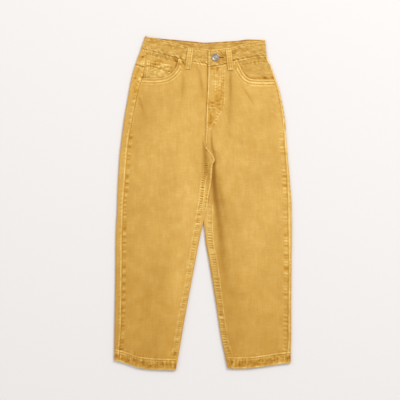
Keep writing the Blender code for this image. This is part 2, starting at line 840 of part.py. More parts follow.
def band_fold(edges, table, toward, t):
    """A column of the band on its folded edge, from the front's face down to the surface."""
    out, up = half_round(t)
    top_x, bottom_x = (edge + toward * BAND_REACH * (1 - out) for edge in edges)
    at = table.rows[0] if toward > 0 else table.rows[-1]
    return band_column((top_x, at[1]), (bottom_x, at[2]), BAND_FACE * up)


def band_stretch(table, start, end, count, on_surface=False):
    """Columns of the band between two pairs of X, at its upper and its lower edge."""
    columns = []
    for t in shares(count):
        top_x, bottom_x = mix(start[0], end[0], t), mix(start[1], end[1], t)
        z = 0.0 if on_surface else table.read("z", top_x)
        top = (top_x, table.read("top", top_x))
        columns.append(band_column(top, (bottom_x, table.read("bottom", bottom_x)), z))
    return columns


def waistband(collection, cutters):
    right = tuple(x + BAND_REACH for x in BAND_RIGHT_FOLD)
    left = tuple(x - BAND_REACH for x in BAND_LEFT_FOLD)
    end_x, overlap_x = BAND_RIGHT.places[-1], BAND_LEFT.places[0]
    columns = band_stretch(BAND_RIGHT, (end_x, end_x), right, BAND_COLUMNS_RIGHT)
    columns += [band_fold(BAND_RIGHT_FOLD, BAND_RIGHT, 1, t) for t in shares(FOLD_STEPS)[1:]]
    columns += band_stretch(BAND_BACK, right, left, BAND_COLUMNS_BACK, on_surface=True)[1:]
    columns += [band_fold(BAND_LEFT_FOLD, BAND_LEFT, -1, 1 - t) for t in shares(FOLD_STEPS)[1:]]
    columns += band_stretch(BAND_LEFT, left, (overlap_x, overlap_x), BAND_COLUMNS_LEFT)[1:]
    made = cloth("waistband", list(zip(*columns)), collection, wall=BAND_WALL)
    for cutter in cutters:
        cut = made.modifiers.new("Buttonhole", "BOOLEAN")
        cut.operation = "DIFFERENCE"
        cut.object = cutter
    return made


def buttonhole_cutters(collection):
    """The eyelet round the shank and the slit behind it, through the overlap alone."""
    tall = OVERLAP_FACE + 1 - CUT_FLOOR
    middle = CUT_FLOOR + tall / 2
    shape = bmesh.new()
    bmesh.ops.create_cone(
        shape,
        cap_ends=True,
        segments=EYELET_STEPS,
        radius1=EYELET_RADIUS * MM,
        radius2=EYELET_RADIUS * MM,
        depth=tall * MM,
    )
    eyelet = bpy.data.meshes.new("eyelet_cutter")
    shape.to_mesh(eyelet)
    shape.free()
    shape = bmesh.new()
    bmesh.ops.create_cube(shape, size=1.0)
    start = BUTTON_X + EYELET_RADIUS / 2
    size = ((SLIT_END_X - start) * MM, SLIT_WIDTH * MM, tall * MM)
    bmesh.ops.scale(shape, vec=size, verts=shape.verts)
    slit = bpy.data.meshes.new("slit_cutter")
    shape.to_mesh(slit)
    shape.free()
    cutters = []
    for mesh, x in ((eyelet, BUTTON_X), (slit, (start + SLIT_END_X) / 2)):
        cutter = add_object(mesh.name, mesh, collection, PEWTER)
        cutter.location = (x * MM, BUTTON_Y * MM, middle * MM)
        cutter.hide_render = True
        cutter.display_type = "WIRE"
        cutters.append(cutter)
    return cutters


def belt_loop(name, band, leg, ends, collection):
    """A strap over the waistband, a little clear of it in the middle, with its foot on the front panel."""
    top, bottom = ends
    grid = []
    for t in shares(LOOP_ROWS):
        row = []
        for share in shares(LOOP_COLUMNS):
            x = mix(top[0], bottom[0], t) + (share - 0.5) * LOOP_WIDTH
            y = mix(top[1], bottom[1], t)
            over_band = band.read("z", x) + LOOP_HUMP * math.sin(math.pi * min(t / LOOP_ARCH, 1.0))
            on_front = max(front_height(leg, x, y), over_band - LOOP_STEP)
            under = mix(over_band, on_front, ease((t - LOOP_FOOT) / (1 - LOOP_FOOT)))
            row.append((x, y, under + GAP + LOOP_WALL))
        grid.append(row)
    return cloth(name, grid, collection, wall=LOOP_WALL, colour=DENIM_WORN)


def button(collection):
    """A pressed cap with a raised rim and a raised centre, on the shank that goes through the eyelet."""
    profile = [(radius, CAP_TOP - below) for radius, below in CAP_PROFILE]
    profile += [(CAP_UNDERSIDE_RADIUS, CAP_UNDERSIDE), (SHANK_RADIUS, CAP_UNDERSIDE)]
    profile += [(SHANK_RADIUS, SHANK_FOOT), (0.0, SHANK_FOOT)]
    shape = bmesh.new()
    verts = [shape.verts.new((radius * MM, 0.0, z * MM)) for radius, z in profile]
    for start, end in zip(verts, verts[1:]):
        shape.edges.new((start, end))
    mesh = bpy.data.meshes.new("button")
    shape.to_mesh(mesh)
    shape.free()
    made = add_object("button", mesh, collection, PEWTER, roughness=0.35, metallic=1.0)
    made.location = (BUTTON_X * MM, BUTTON_Y * MM, 0.0)
    turn = made.modifiers.new("Turn", "SCREW")
    turn.steps = BUTTON_STEPS
    turn.render_steps = BUTTON_STEPS
    turn.use_merge_vertices = True
    turn.merge_threshold = 0.00001
    return made


def new_collection(name):
    made = bpy.data.collections.new(name)
    bpy.context.scene.collection.children.link(made)
    return made


def main():
    for old in list(bpy.data.objects):
        bpy.data.objects.remove(old, do_unlink=True)
    jeans = new_collection("balloon_jeans")
    helpers = new_collection("cutters")
    for leg in (RIGHT, LEFT):
        back_panel(leg, jeans)
        yoke(leg, jeans)
        front_panel(leg, jeans)
        hip_facing(leg, jeans)
    coin_pocket(jeans)
    waistband(jeans, buttonhole_cutters(helpers))
    belt_loop("belt_loop_right", BAND_RIGHT, RIGHT, RIGHT_LOOP, jeans)
    belt_loop("belt_loop_left", BAND_LEFT, LEFT, LEFT_LOOP, jeans)
    button(jeans)


main()
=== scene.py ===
"""The looks of balloon jeans that lie flat with the front up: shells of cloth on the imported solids.

Right and left are the wearer's, so the right leg is at -X. Sizes are in millimetres until a mesh is made.
"""

import math
from dataclasses import dataclass

import bmesh
import bpy
import numpy as np
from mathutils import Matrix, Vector


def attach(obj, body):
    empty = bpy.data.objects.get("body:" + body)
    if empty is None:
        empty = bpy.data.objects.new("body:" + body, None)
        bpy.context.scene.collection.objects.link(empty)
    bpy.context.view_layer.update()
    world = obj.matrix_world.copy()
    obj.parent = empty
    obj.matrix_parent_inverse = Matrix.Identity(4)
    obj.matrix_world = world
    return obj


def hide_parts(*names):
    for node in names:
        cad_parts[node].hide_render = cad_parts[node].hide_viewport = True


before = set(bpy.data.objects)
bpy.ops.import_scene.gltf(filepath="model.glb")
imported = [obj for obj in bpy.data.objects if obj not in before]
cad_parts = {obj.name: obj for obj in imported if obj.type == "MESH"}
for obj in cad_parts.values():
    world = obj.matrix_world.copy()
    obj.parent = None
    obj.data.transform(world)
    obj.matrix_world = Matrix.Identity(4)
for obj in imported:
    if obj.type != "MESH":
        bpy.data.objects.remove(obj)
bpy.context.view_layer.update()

MM = 0.001
PIXEL = 2.3  # of the photo
PHOTO_CENTRE = (203.1, 203.2)

# Walls of cloth and the gaps between them, as in the solids
WALL = 1.1
FACING_WALL = 0.9
BAND_WALL = 2.4
LOOP_WALL = 1.8
HEM_WALL = 2.3
HEM_DEPTH = 22.0
HEM_RISE = 0.7
GAP = 0.1
LAYER_GAP = 0.3
BACK_WAIST_GAP = 0.9
BAND_DEPTH = 36.5

# Heights of the outer faces
FACE = 6.1
PRESSED = 3.0
LAP_UNDERSIDE = 3.3
BAND_FACE = 6.6
UNDERLAP_FACE = 5.4
OVERLAP_FACE = 8.5

# Folded edges, and the lap of the right leg over the left one
FOLD_REACH = 3.2
SIDE_SHARE = 0.7
BAND_REACH = 3.4
INNER_REACH = 1.4
CLOSED_REACH = 0.5
CLOSED_Y = (-58.0, -12.0)
CROTCH_Y = 132.9
CENTRE = 5.6
CLIMB = 10.0
CLIMB_SHARE = 0.75
LAP_CLEARANCE = 0.3
LAP_END_Y = -22.0
LAP_FADE = 20.0
INNER_STRETCH = 12.0
CENTRE_STRETCH = 7.0
CENTRE_SPREAD = 0.3

# Rows of points down the panels
BAND_ROW_Y = 350.0
FACING_ROW_Y = 335.0
WAIST_ROW_Y = 320.0
TOP_ROW_Y = 237.4
CROTCH_ROWS = (134.8, 131.1)
STRETCH_Y = 60.0
LEG_END_Y = -352.0
HEM_ROW_Y = -375.0
ROW_STEP = 1.35
HEM_STEP = 1.2
HEM_CLEARANCE = 6.2

# The fly's edge, and how far the fronts sink and rise beside it
UNDERLAP_X = 30.0
FLY_END_Y = 168.0
FLY_LENGTH = 145.0
FLY_FOOT_X = 7.2
FLY_SLANT = 4.8
RISE_Y = 150.0
RISE_LENGTH = 18.0
UNDERLAP_TAPER = 37.0
FLY_SINK = 1.7
SINK_START = 16.0
SINK_SLOPE = 13.0
SINK_HEIGHT = 14.0
FLY_LIFT = 1.0
LIFT_END_X = 80.0
LIFT_SLOPE = 30.0
LIFT_START_Y = 230.0
LIFT_HEIGHT = 80.0

# Button, buttonhole and belt loops
BUTTON_X = 28.5
BUTTON_Y = 334.2
SLIT_START_X = BUTTON_X + 5
SLIT_END_X = 47.6
SLIT_WIDTH = 1.4
SLIT_HEIGHT = 4.0
LOOP_WIDTH = 13.0
LOOP_HUMP = 0.9
LOOP_ARCH = 0.85
LOOP_FOOT = 0.8
LOOP_STEP = 0.6
LOOP_EDGE = 0.09
LOOP_EDGE_DROP = 0.7
RIGHT_LOOP = ((-28.2, 356.4), (-34.8, 308))
LEFT_LOOP = ((57.9, 354.4), (63.4, 305))

# How light the cloth is, and how strongly a piece's dye is streaked across it
FACING_TONE = {"right": -0.30, "left": -0.48}
FACING_STREAKS = 0.36
FACING_STITCHES_BELOW = {"right": 9.2, "left": 13.6}
COIN_TONE = -0.30
COIN_STREAKS = 1.02
BAND_TONE = -0.47
BAND_STREAKS = 0.66
YOKE_STREAKS = 0.25
LOWEST_Y = -384.0
# how much darker the cloth gets towards the hem
TONE_DROP_TOWARDS_HEM = 0.28
HEM_DEEPNESS = 0.16
HIP_LIGHTNESS = 0.08
# Painted shade: how much darker the cloth gets per millimetre of a fold's depth
FOLD_PAINTED_SHADE = 0.12
UNDERSIDE_TONE = -0.20
DARKEST_TONE = -1.9
TONE_POWERS = np.array([0.37, 0.50, 0.86])  # how red, green and blue of the cloth follow its tone

DENIM_COLOUR = (0.625, 0.366, 0.084, 1)
DENIM_PALE = (0.86, 0.62, 0.21, 1)
DENIM_RICH = (0.570, 0.292, 0.038, 1)
# The deepest dye; it also colours the painted shade in the yoke's slit and beside the fly's edge.
DENIM_DEEP = (0.285, 0.118, 0.007, 1)
THREAD_COLOUR = (0.82, 0.56, 0.19, 1)
THREAD_DEEP = (0.62, 0.37, 0.09, 1)
PEWTER_COLOUR = (0.50, 0.44, 0.38, 1)
PEWTER_DARK = (0.17, 0.13, 0.10, 1)
# Noise in the dye: scale across and along the cloth, detail, and how much the shade changes with it
WEAVE = {
    "cloud": (60.0, 48.0, 4.0, 0.15),
    "grain": (420.0, 420.0, 3.0, 0.16),
    "warp": (900.0, 60.0, 2.0, 0.12),
    "slub": (260.0, 20.0, 3.0, 0.11),
    "weft": (45.0, 330.0, 3.0, 0.12),
}

# Camera and stage, in metres
FRAME_WIDTH = 0.920
FRAME_CENTRE = (-0.0071, 0.0074)
CAMERA_HEIGHT = 2.6
SENSOR_WIDTH = 36.0
FLOOR_HALF = 6.0
FLOOR_Z = -0.0003
FLOOR_COLOUR = (0.778, 0.754, 0.742, 1)
SKY_COLOUR = (1.0, 0.99, 0.985, 1)
SKY_STRENGTH = 0.68
KEY_LIGHT = ((2.0, 2.3, 3.2), 1.7, 108.0)  # place, width and watts
FILL_LIGHT = ((-2.6, 1.8, 3.0), 2.4, 33.0)


def mix(low, high, share):
    return low + (high - low) * share


def ease(share):
    share = np.clip(share, 0.0, 1.0)
    return share * share * (3 - 2 * share)


def mm_x(across):
    return (across - PHOTO_CENTRE[0]) * PIXEL


def mm_y(down):
    return (PHOTO_CENTRE[1] - down) * PIXEL


def on_sheet(*places):
    """Places of the photo, in its pixels, as millimetres from the middle of the garment."""
    return [(mm_x(place[0]), mm_y(place[1]), *place[2:]) for place in places]


class Table:
    """Rows of named columns, read at any places with a smooth curve that never overshoots its rows."""

    def __init__(self, names, *rows):
        self.names = names.split()
        self.rows = np.array(sorted(rows), float)
        self.places = self.rows[:, 0]
        steps = np.diff(self.rows, axis=0) / np.diff(self.places)[:, None]
        before, after = steps[:-1], steps[1:]
        level = before * after <= 0
        inner = np.where(level, 0.0, 2 * before * after / np.where(level, 1.0, before + after))
        self.slopes = np.vstack([steps[:1], inner, steps[-1:]])

    def read(self, name, place):
        column = self.names.index(name)
        place = np.clip(place, self.places[0], self.places[-1])
        i = np.clip(np.searchsorted(self.places, place) - 1, 0, len(self.places) - 2)
        span = self.places[i + 1] - self.places[i]
        t = (place - self.places[i]) / span
        return (
            self.rows[i, column] * (2 * t**3 - 3 * t**2 + 1)
            + self.rows[i + 1, column] * (3 * t**2 - 2 * t**3)
            + self.slopes[i, column] * span * (t**3 - 2 * t**2 + t)
            + self.slopes[i + 1, column] * span * (t**3 - t**2)
        )


def joined(*rows):
    """Rows above the crotch, where the legs meet at the centre."""
    return [(*row, CENTRE, CENTRE, FACE, 1, 20) for row in rows]


# side: outer edge. outseam, inseam: seams on the front side. inner: fold between the legs.
# crest: height of the face at the inner fold. hold, reach: where the face leaves and regains its level.
RIGHT_LEG = Table(
    "y side outseam inseam inner crest hold reach",
    *joined(
        (354, -142.8, -130.4), (334, -150.2, -131.3), (315.6, -156.6, -134.2), (292.6, -163.1, -137.6),
        (264.9, -168.8, -147.6), (237.4, -173.6, -153.6), (196, -180.8, -161.7), (134.8, -188.8, -171.8),
    ),
    (131.1, -189.3, -172.3, 5.3, 7.2, 6.2, 1, 2),
    (126.6, -189.8, -172.6, 1.6, 9.6, 6.7, 1, 5),
    (122.4, -190.3, -172.9, -0.4, 12.8, 7.2, 1, 8),
    (114.3, -191.2, -173.5, -1, 20, 8.1, 1, 12),
    (106.3, -191.8, -174, -1.5, 24.6, 8.5, 2, 14),
    (98.2, -192.4, -174.6, -1.6, 27.4, 8.6, 2, 16),
    (90.2, -192.9, -175.1, -1.6, 22.6, 8.5, 2, 15),
    (76.4, -193.8, -176.1, -1.5, 20.8, 8.3, 2, 14),
    (58, -194.9, -177.4, -1.3, 19.9, 8, 2, 12),
    (46.5, -195.5, -178.2, -1, 18.6, 7.8, 2, 12),
    (27, -196.2, -179.9, -2.4, 15.4, 7.4, 2, 12),
    (14.3, -196.6, -181, -3.6, 12.7, 7.2, 1, 12),
    (0.5, -197, -182, -6.5, 11.2, 6.7, 1, 12),
    (-7, -197.3, -182.3, -8, 10, 6.6, 1, 12),
    (-20.2, -197.8, -182.8, -10.2, 6.9, 6.3, 1, 12),
    (-45.5, -199.4, -183.6, -14.2, 0.2, 6.1, 1, 12),
    (-84.6, -200.7, -184.7, -20.8, -8.3, 6.1, 1, 12),
    (-174.3, -201.5, -185.6, -35.9, -25.3, 6.1, 1, 12),
    (-268.6, -203.1, -186.4, -53.9, -42.8, 6.1, 1, 12),
    (-342.2, -204.1, -191, -66.6, -55.2, 6.3, 1, 12),
    (-384, -204.4, -192.2, -73.5, -62.6, 6.4, 1, 12),
)
LEFT_LEG = Table(
    "y side outseam inseam inner crest hold reach",
    *joined(
        (354, 145.2, 141.8), (334, 147.4, 143.9), (315.6, 155.9, 152), (292.6, 163.8, 160),
        (264.9, 173.6, 169), (237.4, 180.1, 174.8), (196, 187.7, 181.2),
    ),
    (155, 191, 184.4, 5.6, 5.6, 6, 1, 20),
    (134.8, 192.4, 185.6, 5.6, 5.6, 4.2, 2, 16),
    (131.1, 192.7, 186, 5.5, 3.5, 3, 3, 16),
    (126.6, 193, 186.4, 8.6, 5.6, 3, 4, 16),
    (122.4, 193.4, 186.8, 12.4, 8.6, 3, 5, 16),
    (114.3, 194, 187.3, 18.4, 12.4, 3, 11, 15),
    (98.2, 195.4, 188.3, 19.5, 12.4, 3, 17, 15),
    (76.4, 197.6, 189.7, 19.5, 12.4, 3, 12, 17),
    (46.5, 199.9, 191.5, 19.4, 12.4, 3, 9, 19),
    (23.5, 202, 192.6, 19.2, 12.4, 3, 8, 20),
    (14.3, 202.7, 192.9, 18.8, 12.4, 3, 7, 20),
    (0.5, 203.4, 193.2, 18.2, 9.2, 3, 7, 18),
    (-7, 203.6, 193.4, 17.8, 7.8, 3, 6, 17),
    (-20.2, 204, 193.6, 17.3, 4.8, 3.2, 5, 16),
    (-31.7, 204.3, 193.8, 16.8, 2.6, 4.2, 3, 16),
    (-41, 204.4, 194, 16.8, 1.6, 5.6, 1, 16),
    (-47.5, 204.4, 194, 16.8, 1.6, 6.1, 1, 16),
    (-53, 204.4, 194.1, 16.9, 2.3, 6.1, 1, 16),
    (-66, 204.4, 194.3, 17.2, 3.7, 6.1, 1, 16),
    (-84.6, 204.4, 194.5, 18.4, 5.4, 6.1, 1, 16),
    (-130.6, 203.4, 195, 27, 13.2, 6.1, 1, 16),
    (-222.6, 202.7, 194.3, 39.2, 28.4, 6.1, 1, 16),
    (-314.6, 202.6, 193.4, 52, 42.6, 6.1, 1, 16),
    (-342.2, 201.6, 191, 59.6, 48.5, 6.3, 1, 16),
    (-384, 201.4, 190.4, 67, 57, 6.4, 1, 16),
)
RIGHT_HEM = Table(
    "x y",
    (-204.4, -360.6), (-182, -366), (-161, -373.3), (-143.5, -378.6), (-108, -382.2), (-62.6, -383.6),
)
LEFT_HEM = Table(
    "x y",
    (56, -378.6), (75, -379.7), (103, -379), (139.6, -374.7), (169, -370.3), (201.6, -366.4),
)
BAND_RIGHT = Table(
    "x top bottom z",
    (-139.4, 383.6, 354, BAND_FACE), (-120, 380.2, 350.4, BAND_FACE),
    (-99, 376.5, 344.6, BAND_FACE), (-82, 372.6, 339.4, BAND_FACE), (-64.6, 368, 335.4, BAND_FACE),
    (-46, 362.9, 329.4, BAND_FACE), (-20, 357.2, 324.6, 6.4), (2, 354.3, 321, UNDERLAP_FACE),
    (46, 352.6, 315, UNDERLAP_FACE),
)
BAND_LEFT = Table(
    "x top bottom z",
    (12, 351, 312.8, OVERLAP_FACE), (30, 352.8, 315.4, OVERLAP_FACE),
    (48, 354.7, 318.8, OVERLAP_FACE), (64, 357, 325.4, 7.3), (78, 361.6, 329.9, BAND_FACE),
    (94, 366.2, 332.8, BAND_FACE), (116.6, 370.5, 337.2, BAND_FACE), (142.4, 374.6, 339.7, BAND_FACE),
)
BAND_BACK = Table(
    "x top bottom",
    (-139.4, 383.6, 354), (-100, 378.4, 344), (-60, 374.9, 338.6), (-18, 370.9, 334.6),
    (4.4, 369, 333), (25, 369.8, 333.6), (72, 372.8, 336.6), (109, 376.1, 339.6), (142.4, 374.6, 339.7),
)
# X of the band's folded ends, at its top and at its bottom
BAND_RIGHT_FOLD = (-132.9, -142.8)
BAND_LEFT_FOLD = (142.4, 145.9)

YOKE_AT_OUTSEAM = 312.8
YOKE_AT_FOLD = 319.9
YOKE_AT_CENTRE = 275.0
YOKE_RISE = 0.8
YOKE_BEND = 1.3

RIGHT_MOUTH = (
    (-136, 287), (-119, 286.2), (-98, 287.6), (-82.8, 291.4), (-70.6, 300), (-61.6, 312), (-56.4, 331.6),
)
LEFT_MOUTH = (
    (160.6, 284), (130, 284), (111, 284.9), (100.6, 290.3), (92.6, 299.6), (85.6, 312.6), (77.6, 328.6),
)
FACING_BOTTOM = 262.0
FACING_PAST_MOUTH = 9.0
COIN_CORNERS = ((-129, 328.2), (-71.5, 316.7), (-131.4, 270), (-80, 270))
MOUTH_SHARE = 0.6077  # of a front's width, the part that starts on the pocket mouth
MOUTH_CROWDING = 1.35
EDGE_CROWDING = 1.35

# Each fold is a row of places with the half width and depth of its trough there; a depth below 0 is a ridge. A
# trough also darkens the cloth with painted shade, by its depth.
FOLDS = {
    "thigh trough": (
        (27, 28, 9, 0), (30.5, 6, 9, 2.2), (35.5, -27, 10, 2.2), (38.6, -66, 10, 2), (44, -114.5, 10, 1.5),
        (47, -146, 11, 0.7), (62, -176, 12, 0),
    ),
    "left front, beside the fly": (
        (64, 306, 8, 0), (64.5, 270, 8, 0.9), (62.5, 200, 9, 0.8), (58.6, 158, 9, 0),
    ),
    "left front, across the hip": ((71, 304, 7, 0.3), (94, 258, 8, 0.9), (116, 226, 9, 0)),
    "right front, beside the fly": ((-7, 310, 7, 0.5), (-5.5, 270, 8, 0.8), (-6, 235, 8, 0)),
    "right front, down the thigh": ((-49, 300, 8, 0.4), (-46, 262, 9, 0.9), (-43, 222, 9, 0)),
    "crotch crease": ((16.5, 166, 4, 0), (19, 148, 4, 1), (21.5, 126, 5, 0.8), (24, 108, 5, 0)),
    "lap trough": ((4.6, 132, 4, 0.3), (5.6, 112, 5, 2), (5.6, 74, 5, 1.8), (4, 50, 5, 0)),
}
# Places where the dye stayed deep and the cloth is bunched: x, y, half width, half height, shade, bunching
PATCHES = (
    (36, 240, 9, 17, 0.95, 0.5), (40, 222, 7, 9, 0.75, 0.4), (20, 227.5, 9, 7, 0.95, 0.4),
    (20, 203, 6, 16, 0.95, 0.5), (20, 183, 9, 7, 0.6, 0.7), (42.5, 268, 3, 14, 0.9, 0.2),
    (34, 258, 6, 4, 0.7, 0.3), (21, 309, 9, 5, 0.4, 0.3), (18, 310, 8, 5, 0.4, 0.3), (36, 309, 8, 6, 0.5, 0.3),
    (44, 342, 8, 7, 0.75, 0.3), (45, 330, 8, 6, 0.6, 0.3), (24, 322, 8, 4, 0.4, 0.2),
    (77.6, 344, 12, 4, 0.75, 0.2), (72, 327, 5, 4, 0.9, 0.3), (76, 318, 4, 8, 0.5, 0.2),
    (-136, 336, 8, 5, 0.8, 0.5), (-143, 333, 6, 6, 0.7, 0.5), (-51, 320.5, 11, 6, 0.75, 0.5),
    (31, 285, 13, 32, -0.22, 0.1), (184, 150, 7, 64, -0.16, 0), (-60, 327, 9, 4, 0.5, 0.4),
    (52, 322, 8, 5, 0.5, 0.4), (-157, 250, 8, 26, 0.3, 0.3), (-144, 323, 6, 6, -0.55, 0.3),
    (-150, 304, 7, 5, 0.8, 0.4), (-154, 291, 6, 5, 0.7, 0.4), (-108, 322, 20, 5, 0.6, 0.5),
    (-152, 262, 7, 26, 0.35, 0.3), (-100, 326, 14, 6, 0.4, 0.3), (-66, 330, 6, 5, 0.8, 0.3),
    (-50, 322, 9, 8, 0.75, 0.35), (-60, 316, 4, 9, 0.5, 0.2), (142, 288.5, 7, 2.5, 0.9, 0.3),
    (158, 289, 3, 3, 0.7, 0.3), (-194, -330, 6, 16, 0.5, 0.3), (-66, -343, 8, 12, 0.6, 0.3),
    (56, -335, 8, 16, 0.5, 0.3),
)
# Slow changes of tone: place and half size on the photo's pixels, and the change, which is paler above 0
BROAD_TONES = (
    (129, 284, 14, 26, -0.14), (218, 290, 7, 34, -0.18), (140, 360, 16, 10, -0.14), (283, 346, 5, 22, 0.18),
    (118, 350, 4, 12, 0.12), (181, 360, 8, 6, 0.16), (140, 64, 6, 6, -0.2), (228, 346, 8, 12, -0.16),
    (232, 238, 8, 18, -0.12), (173, 346, 7, 8, -0.15), (162, 316, 8, 10, 0.12), (217, 78, 9, 14, -0.22),
    (156, 104, 24, 24, -0.12), (210, 168, 4, 10, -0.1), (189, 240, 10, 42, 0.34), (177, 298, 10, 34, 0.36),
    (172, 352, 10, 12, 0.25), (184, 168, 9, 14, 0.18), (263, 235, 18, 64, 0.22), (285, 280, 4, 60, 0.15),
    (143, 120, 14, 36, -0.24), (128, 240, 6, 70, -0.14), (228, 310, 8, 40, -0.16), (262, 342, 28, 14, -0.12),
    (271, 112, 8, 13, -0.22), (230, 64, 5, 8, -0.26), (256, 52, 14, 12, -0.22), (188, 64, 8, 5, -0.2),
    (214, 84, 9, 10, 0.24), (163, 66, 9, 7, 0.14), (208, 218, 5, 16, 0.3),
)


@dataclass
class Leg:
    """One side of the garment. toward is +1 where the inner fold lies at a larger X than the side."""

    side_name: str
    table: Table
    hem: Table
    mouth: tuple
    band: Table
    toward: int

    def at(self, column, y):
        return self.table.read(column, y)

    def face(self, x, y):
        """Height of the outer face: its level, its folds, and the crest or dip at the inner fold."""
        level = np.maximum(FACE - folded_depth(x, y), PRESSED)
        distance = (self.at("inner", y) - x) * self.toward - self.at("hold", y)
        return mix(self.at("crest", y), level, ease(distance / self.at("reach", y)))

    def past(self, seam, y):
        """Half a gap past one of its seams, on the side of the inner fold."""
        return self.at(seam, y) + self.toward * GAP / 2


RIGHT = Leg("right", RIGHT_LEG, RIGHT_HEM, RIGHT_MOUTH, BAND_RIGHT, 1)
LEFT = Leg("left", LEFT_LEG, LEFT_HEM, LEFT_MOUTH, BAND_LEFT, -1)


def stations_near(stations, x, y):
    """The nearest place on a row of stations: distance, and the stations' values there."""
    best = np.full(np.shape(x), 1e6)
    found = [np.zeros(np.shape(x)) for _ in stations[0][2:]]
    for start, end in zip(stations, stations[1:]):
        run = (end[0] - start[0], end[1] - start[1])
        reach = ((x - start[0]) * run[0] + (y - start[1]) * run[1]) / (run[0] ** 2 + run[1] ** 2)
        share = np.clip(reach, 0.0, 1.0)
        away = np.hypot(x - mix(start[0], end[0], share), y - mix(start[1], end[1], share))
        closer = away < best
        best = np.where(closer, away, best)
        for k, value in enumerate(found):
            found[k] = np.where(closer, mix(start[k + 2], end[k + 2], share), value)
    return best, found


def folded_depth(x, y):
    total = 0.0
    for stations in FOLDS.values():
        away, (width, depth) = stations_near(stations, x, y)
        total = total + depth * np.exp(-((away / width) ** 2))
    return total


def noise(x, y, size, seed):
    """Smooth noise from -1 to 1, in features of this size."""
    gx, gy = x / size, y / size
    ix, iy = np.floor(gx), np.floor(gy)
    fx, fy = ease(gx - ix), ease(gy - iy)

    def corner(a, b):
        value = np.sin((ix + a) * 127.1 + (iy + b) * 311.7 + seed * 74.7) * 43758.5453
        return 2 * (value - np.floor(value)) - 1

    low = mix(corner(0, 0), corner(1, 0), fx)
    high = mix(corner(0, 1), corner(1, 1), fx)
    return mix(low, high, fy)


# ---------------------------------------------------------------- seams and their relief


def smooth_path(points, step=2.0):
    """Points about a step apart on the smooth curve through the given ones."""
    points = [np.array(p, float) for p in points]
    ends = [points[0], *points, points[-1]]
    found = []
    for before, start, end, after in zip(ends, ends[1:], ends[2:], ends[3:]):
        count = max(int(np.linalg.norm(end - start) / step), 1)
        for k in range(count):
            t = k / count
            square = 2 * before - 5 * start + 4 * end - after
            cube = 3 * (start - end) + after - before
            found.append(start + 0.5 * t * (end - before + t * (square + t * cube)))
    found.append(points[-1])
    return np.array(found)


def lengths_along(path):
    return np.concatenate([[0], np.cumsum(np.linalg.norm(np.diff(path, axis=0), axis=1))])


def resampled(path, step=1.5):
    lengths = lengths_along(path)
    places = np.linspace(0, lengths[-1], max(int(lengths[-1] / step), 2))
    return np.column_stack([np.interp(places, lengths, path[:, k]) for k in (0, 1)])


def leg_line(leg, column, top, bottom, shift=0.0):
    """Points down one of a leg's lines. A shift is towards the inner fold."""
    y = np.arange(top, bottom, -6.0)
    return np.column_stack([leg.at(column, y) + shift * leg.toward, y])


def band_line(table, edge, start, end, above=0.0):
    x = np.linspace(start, end, max(int(abs(end - start) / 5), 2))
    return np.column_stack([x, table.read(edge, x) + above])


def hem_line(leg, above, inset):
    outer = leg.at("side", HEM_ROW_Y) + inset * leg.toward
    inner = leg.at("inner", HEM_ROW_Y) - inset * leg.toward
    x = np.linspace(outer, inner, 40)
    return np.column_stack([x, leg.hem.read("y", x) + above])


def shifted(path, offset):
    """The path moved sideways, to its left where the offset is above 0."""
    run = np.gradient(path, axis=0)
    run /= np.linalg.norm(run, axis=1)[:, None]
    return path + offset * np.column_stack([-run[:, 1], run[:, 0]])


def near_path(path, x, y):
    """Distance from the path, above 0 on its left, and the length along it at the nearest place."""
    best = np.full(np.shape(x), 1e6)
    side = np.ones(np.shape(x))
    along = np.zeros(np.shape(x))
    passed = 0.0
    for (ax, ay), (bx, by) in zip(path[:-1], path[1:]):
        rx, ry = bx - ax, by - ay
        length = math.hypot(rx, ry)
        t = np.clip(((x - ax) * rx + (y - ay) * ry) / length**2, 0.0, 1.0)
        dx, dy = x - ax - t * rx, y - ay - t * ry
        away = np.hypot(dx, dy)
        closer = away < best
        best = np.where(closer, away, best)
        side = np.where(closer, np.where(rx * dy - ry * dx < 0, -1.0, 1.0), side)
        along = np.where(closer, passed + t * length, along)
        passed += length
    return best * side, along, passed


class Crease:
    """A soft trough laid through rows of x, y, half width, depth and tone; a depth below 0 is a ridge. The tone
    is painted shade that darkens the trough, and below 0 painted light that pales it.
    """

    def __init__(self, *rows):
        self.rows = rows

    def relief(self, x, y):
        """Height, shade and tone at any places."""
        away, (width, depth, tone) = stations_near(self.rows, x, y)
        bump = np.exp(-((away / width) ** 2))
        return -depth * bump, 0.0, -tone * bump


def traced(*rows):
    """A crease whose places are pixels of the photo."""
    return Crease(*on_sheet(*rows))


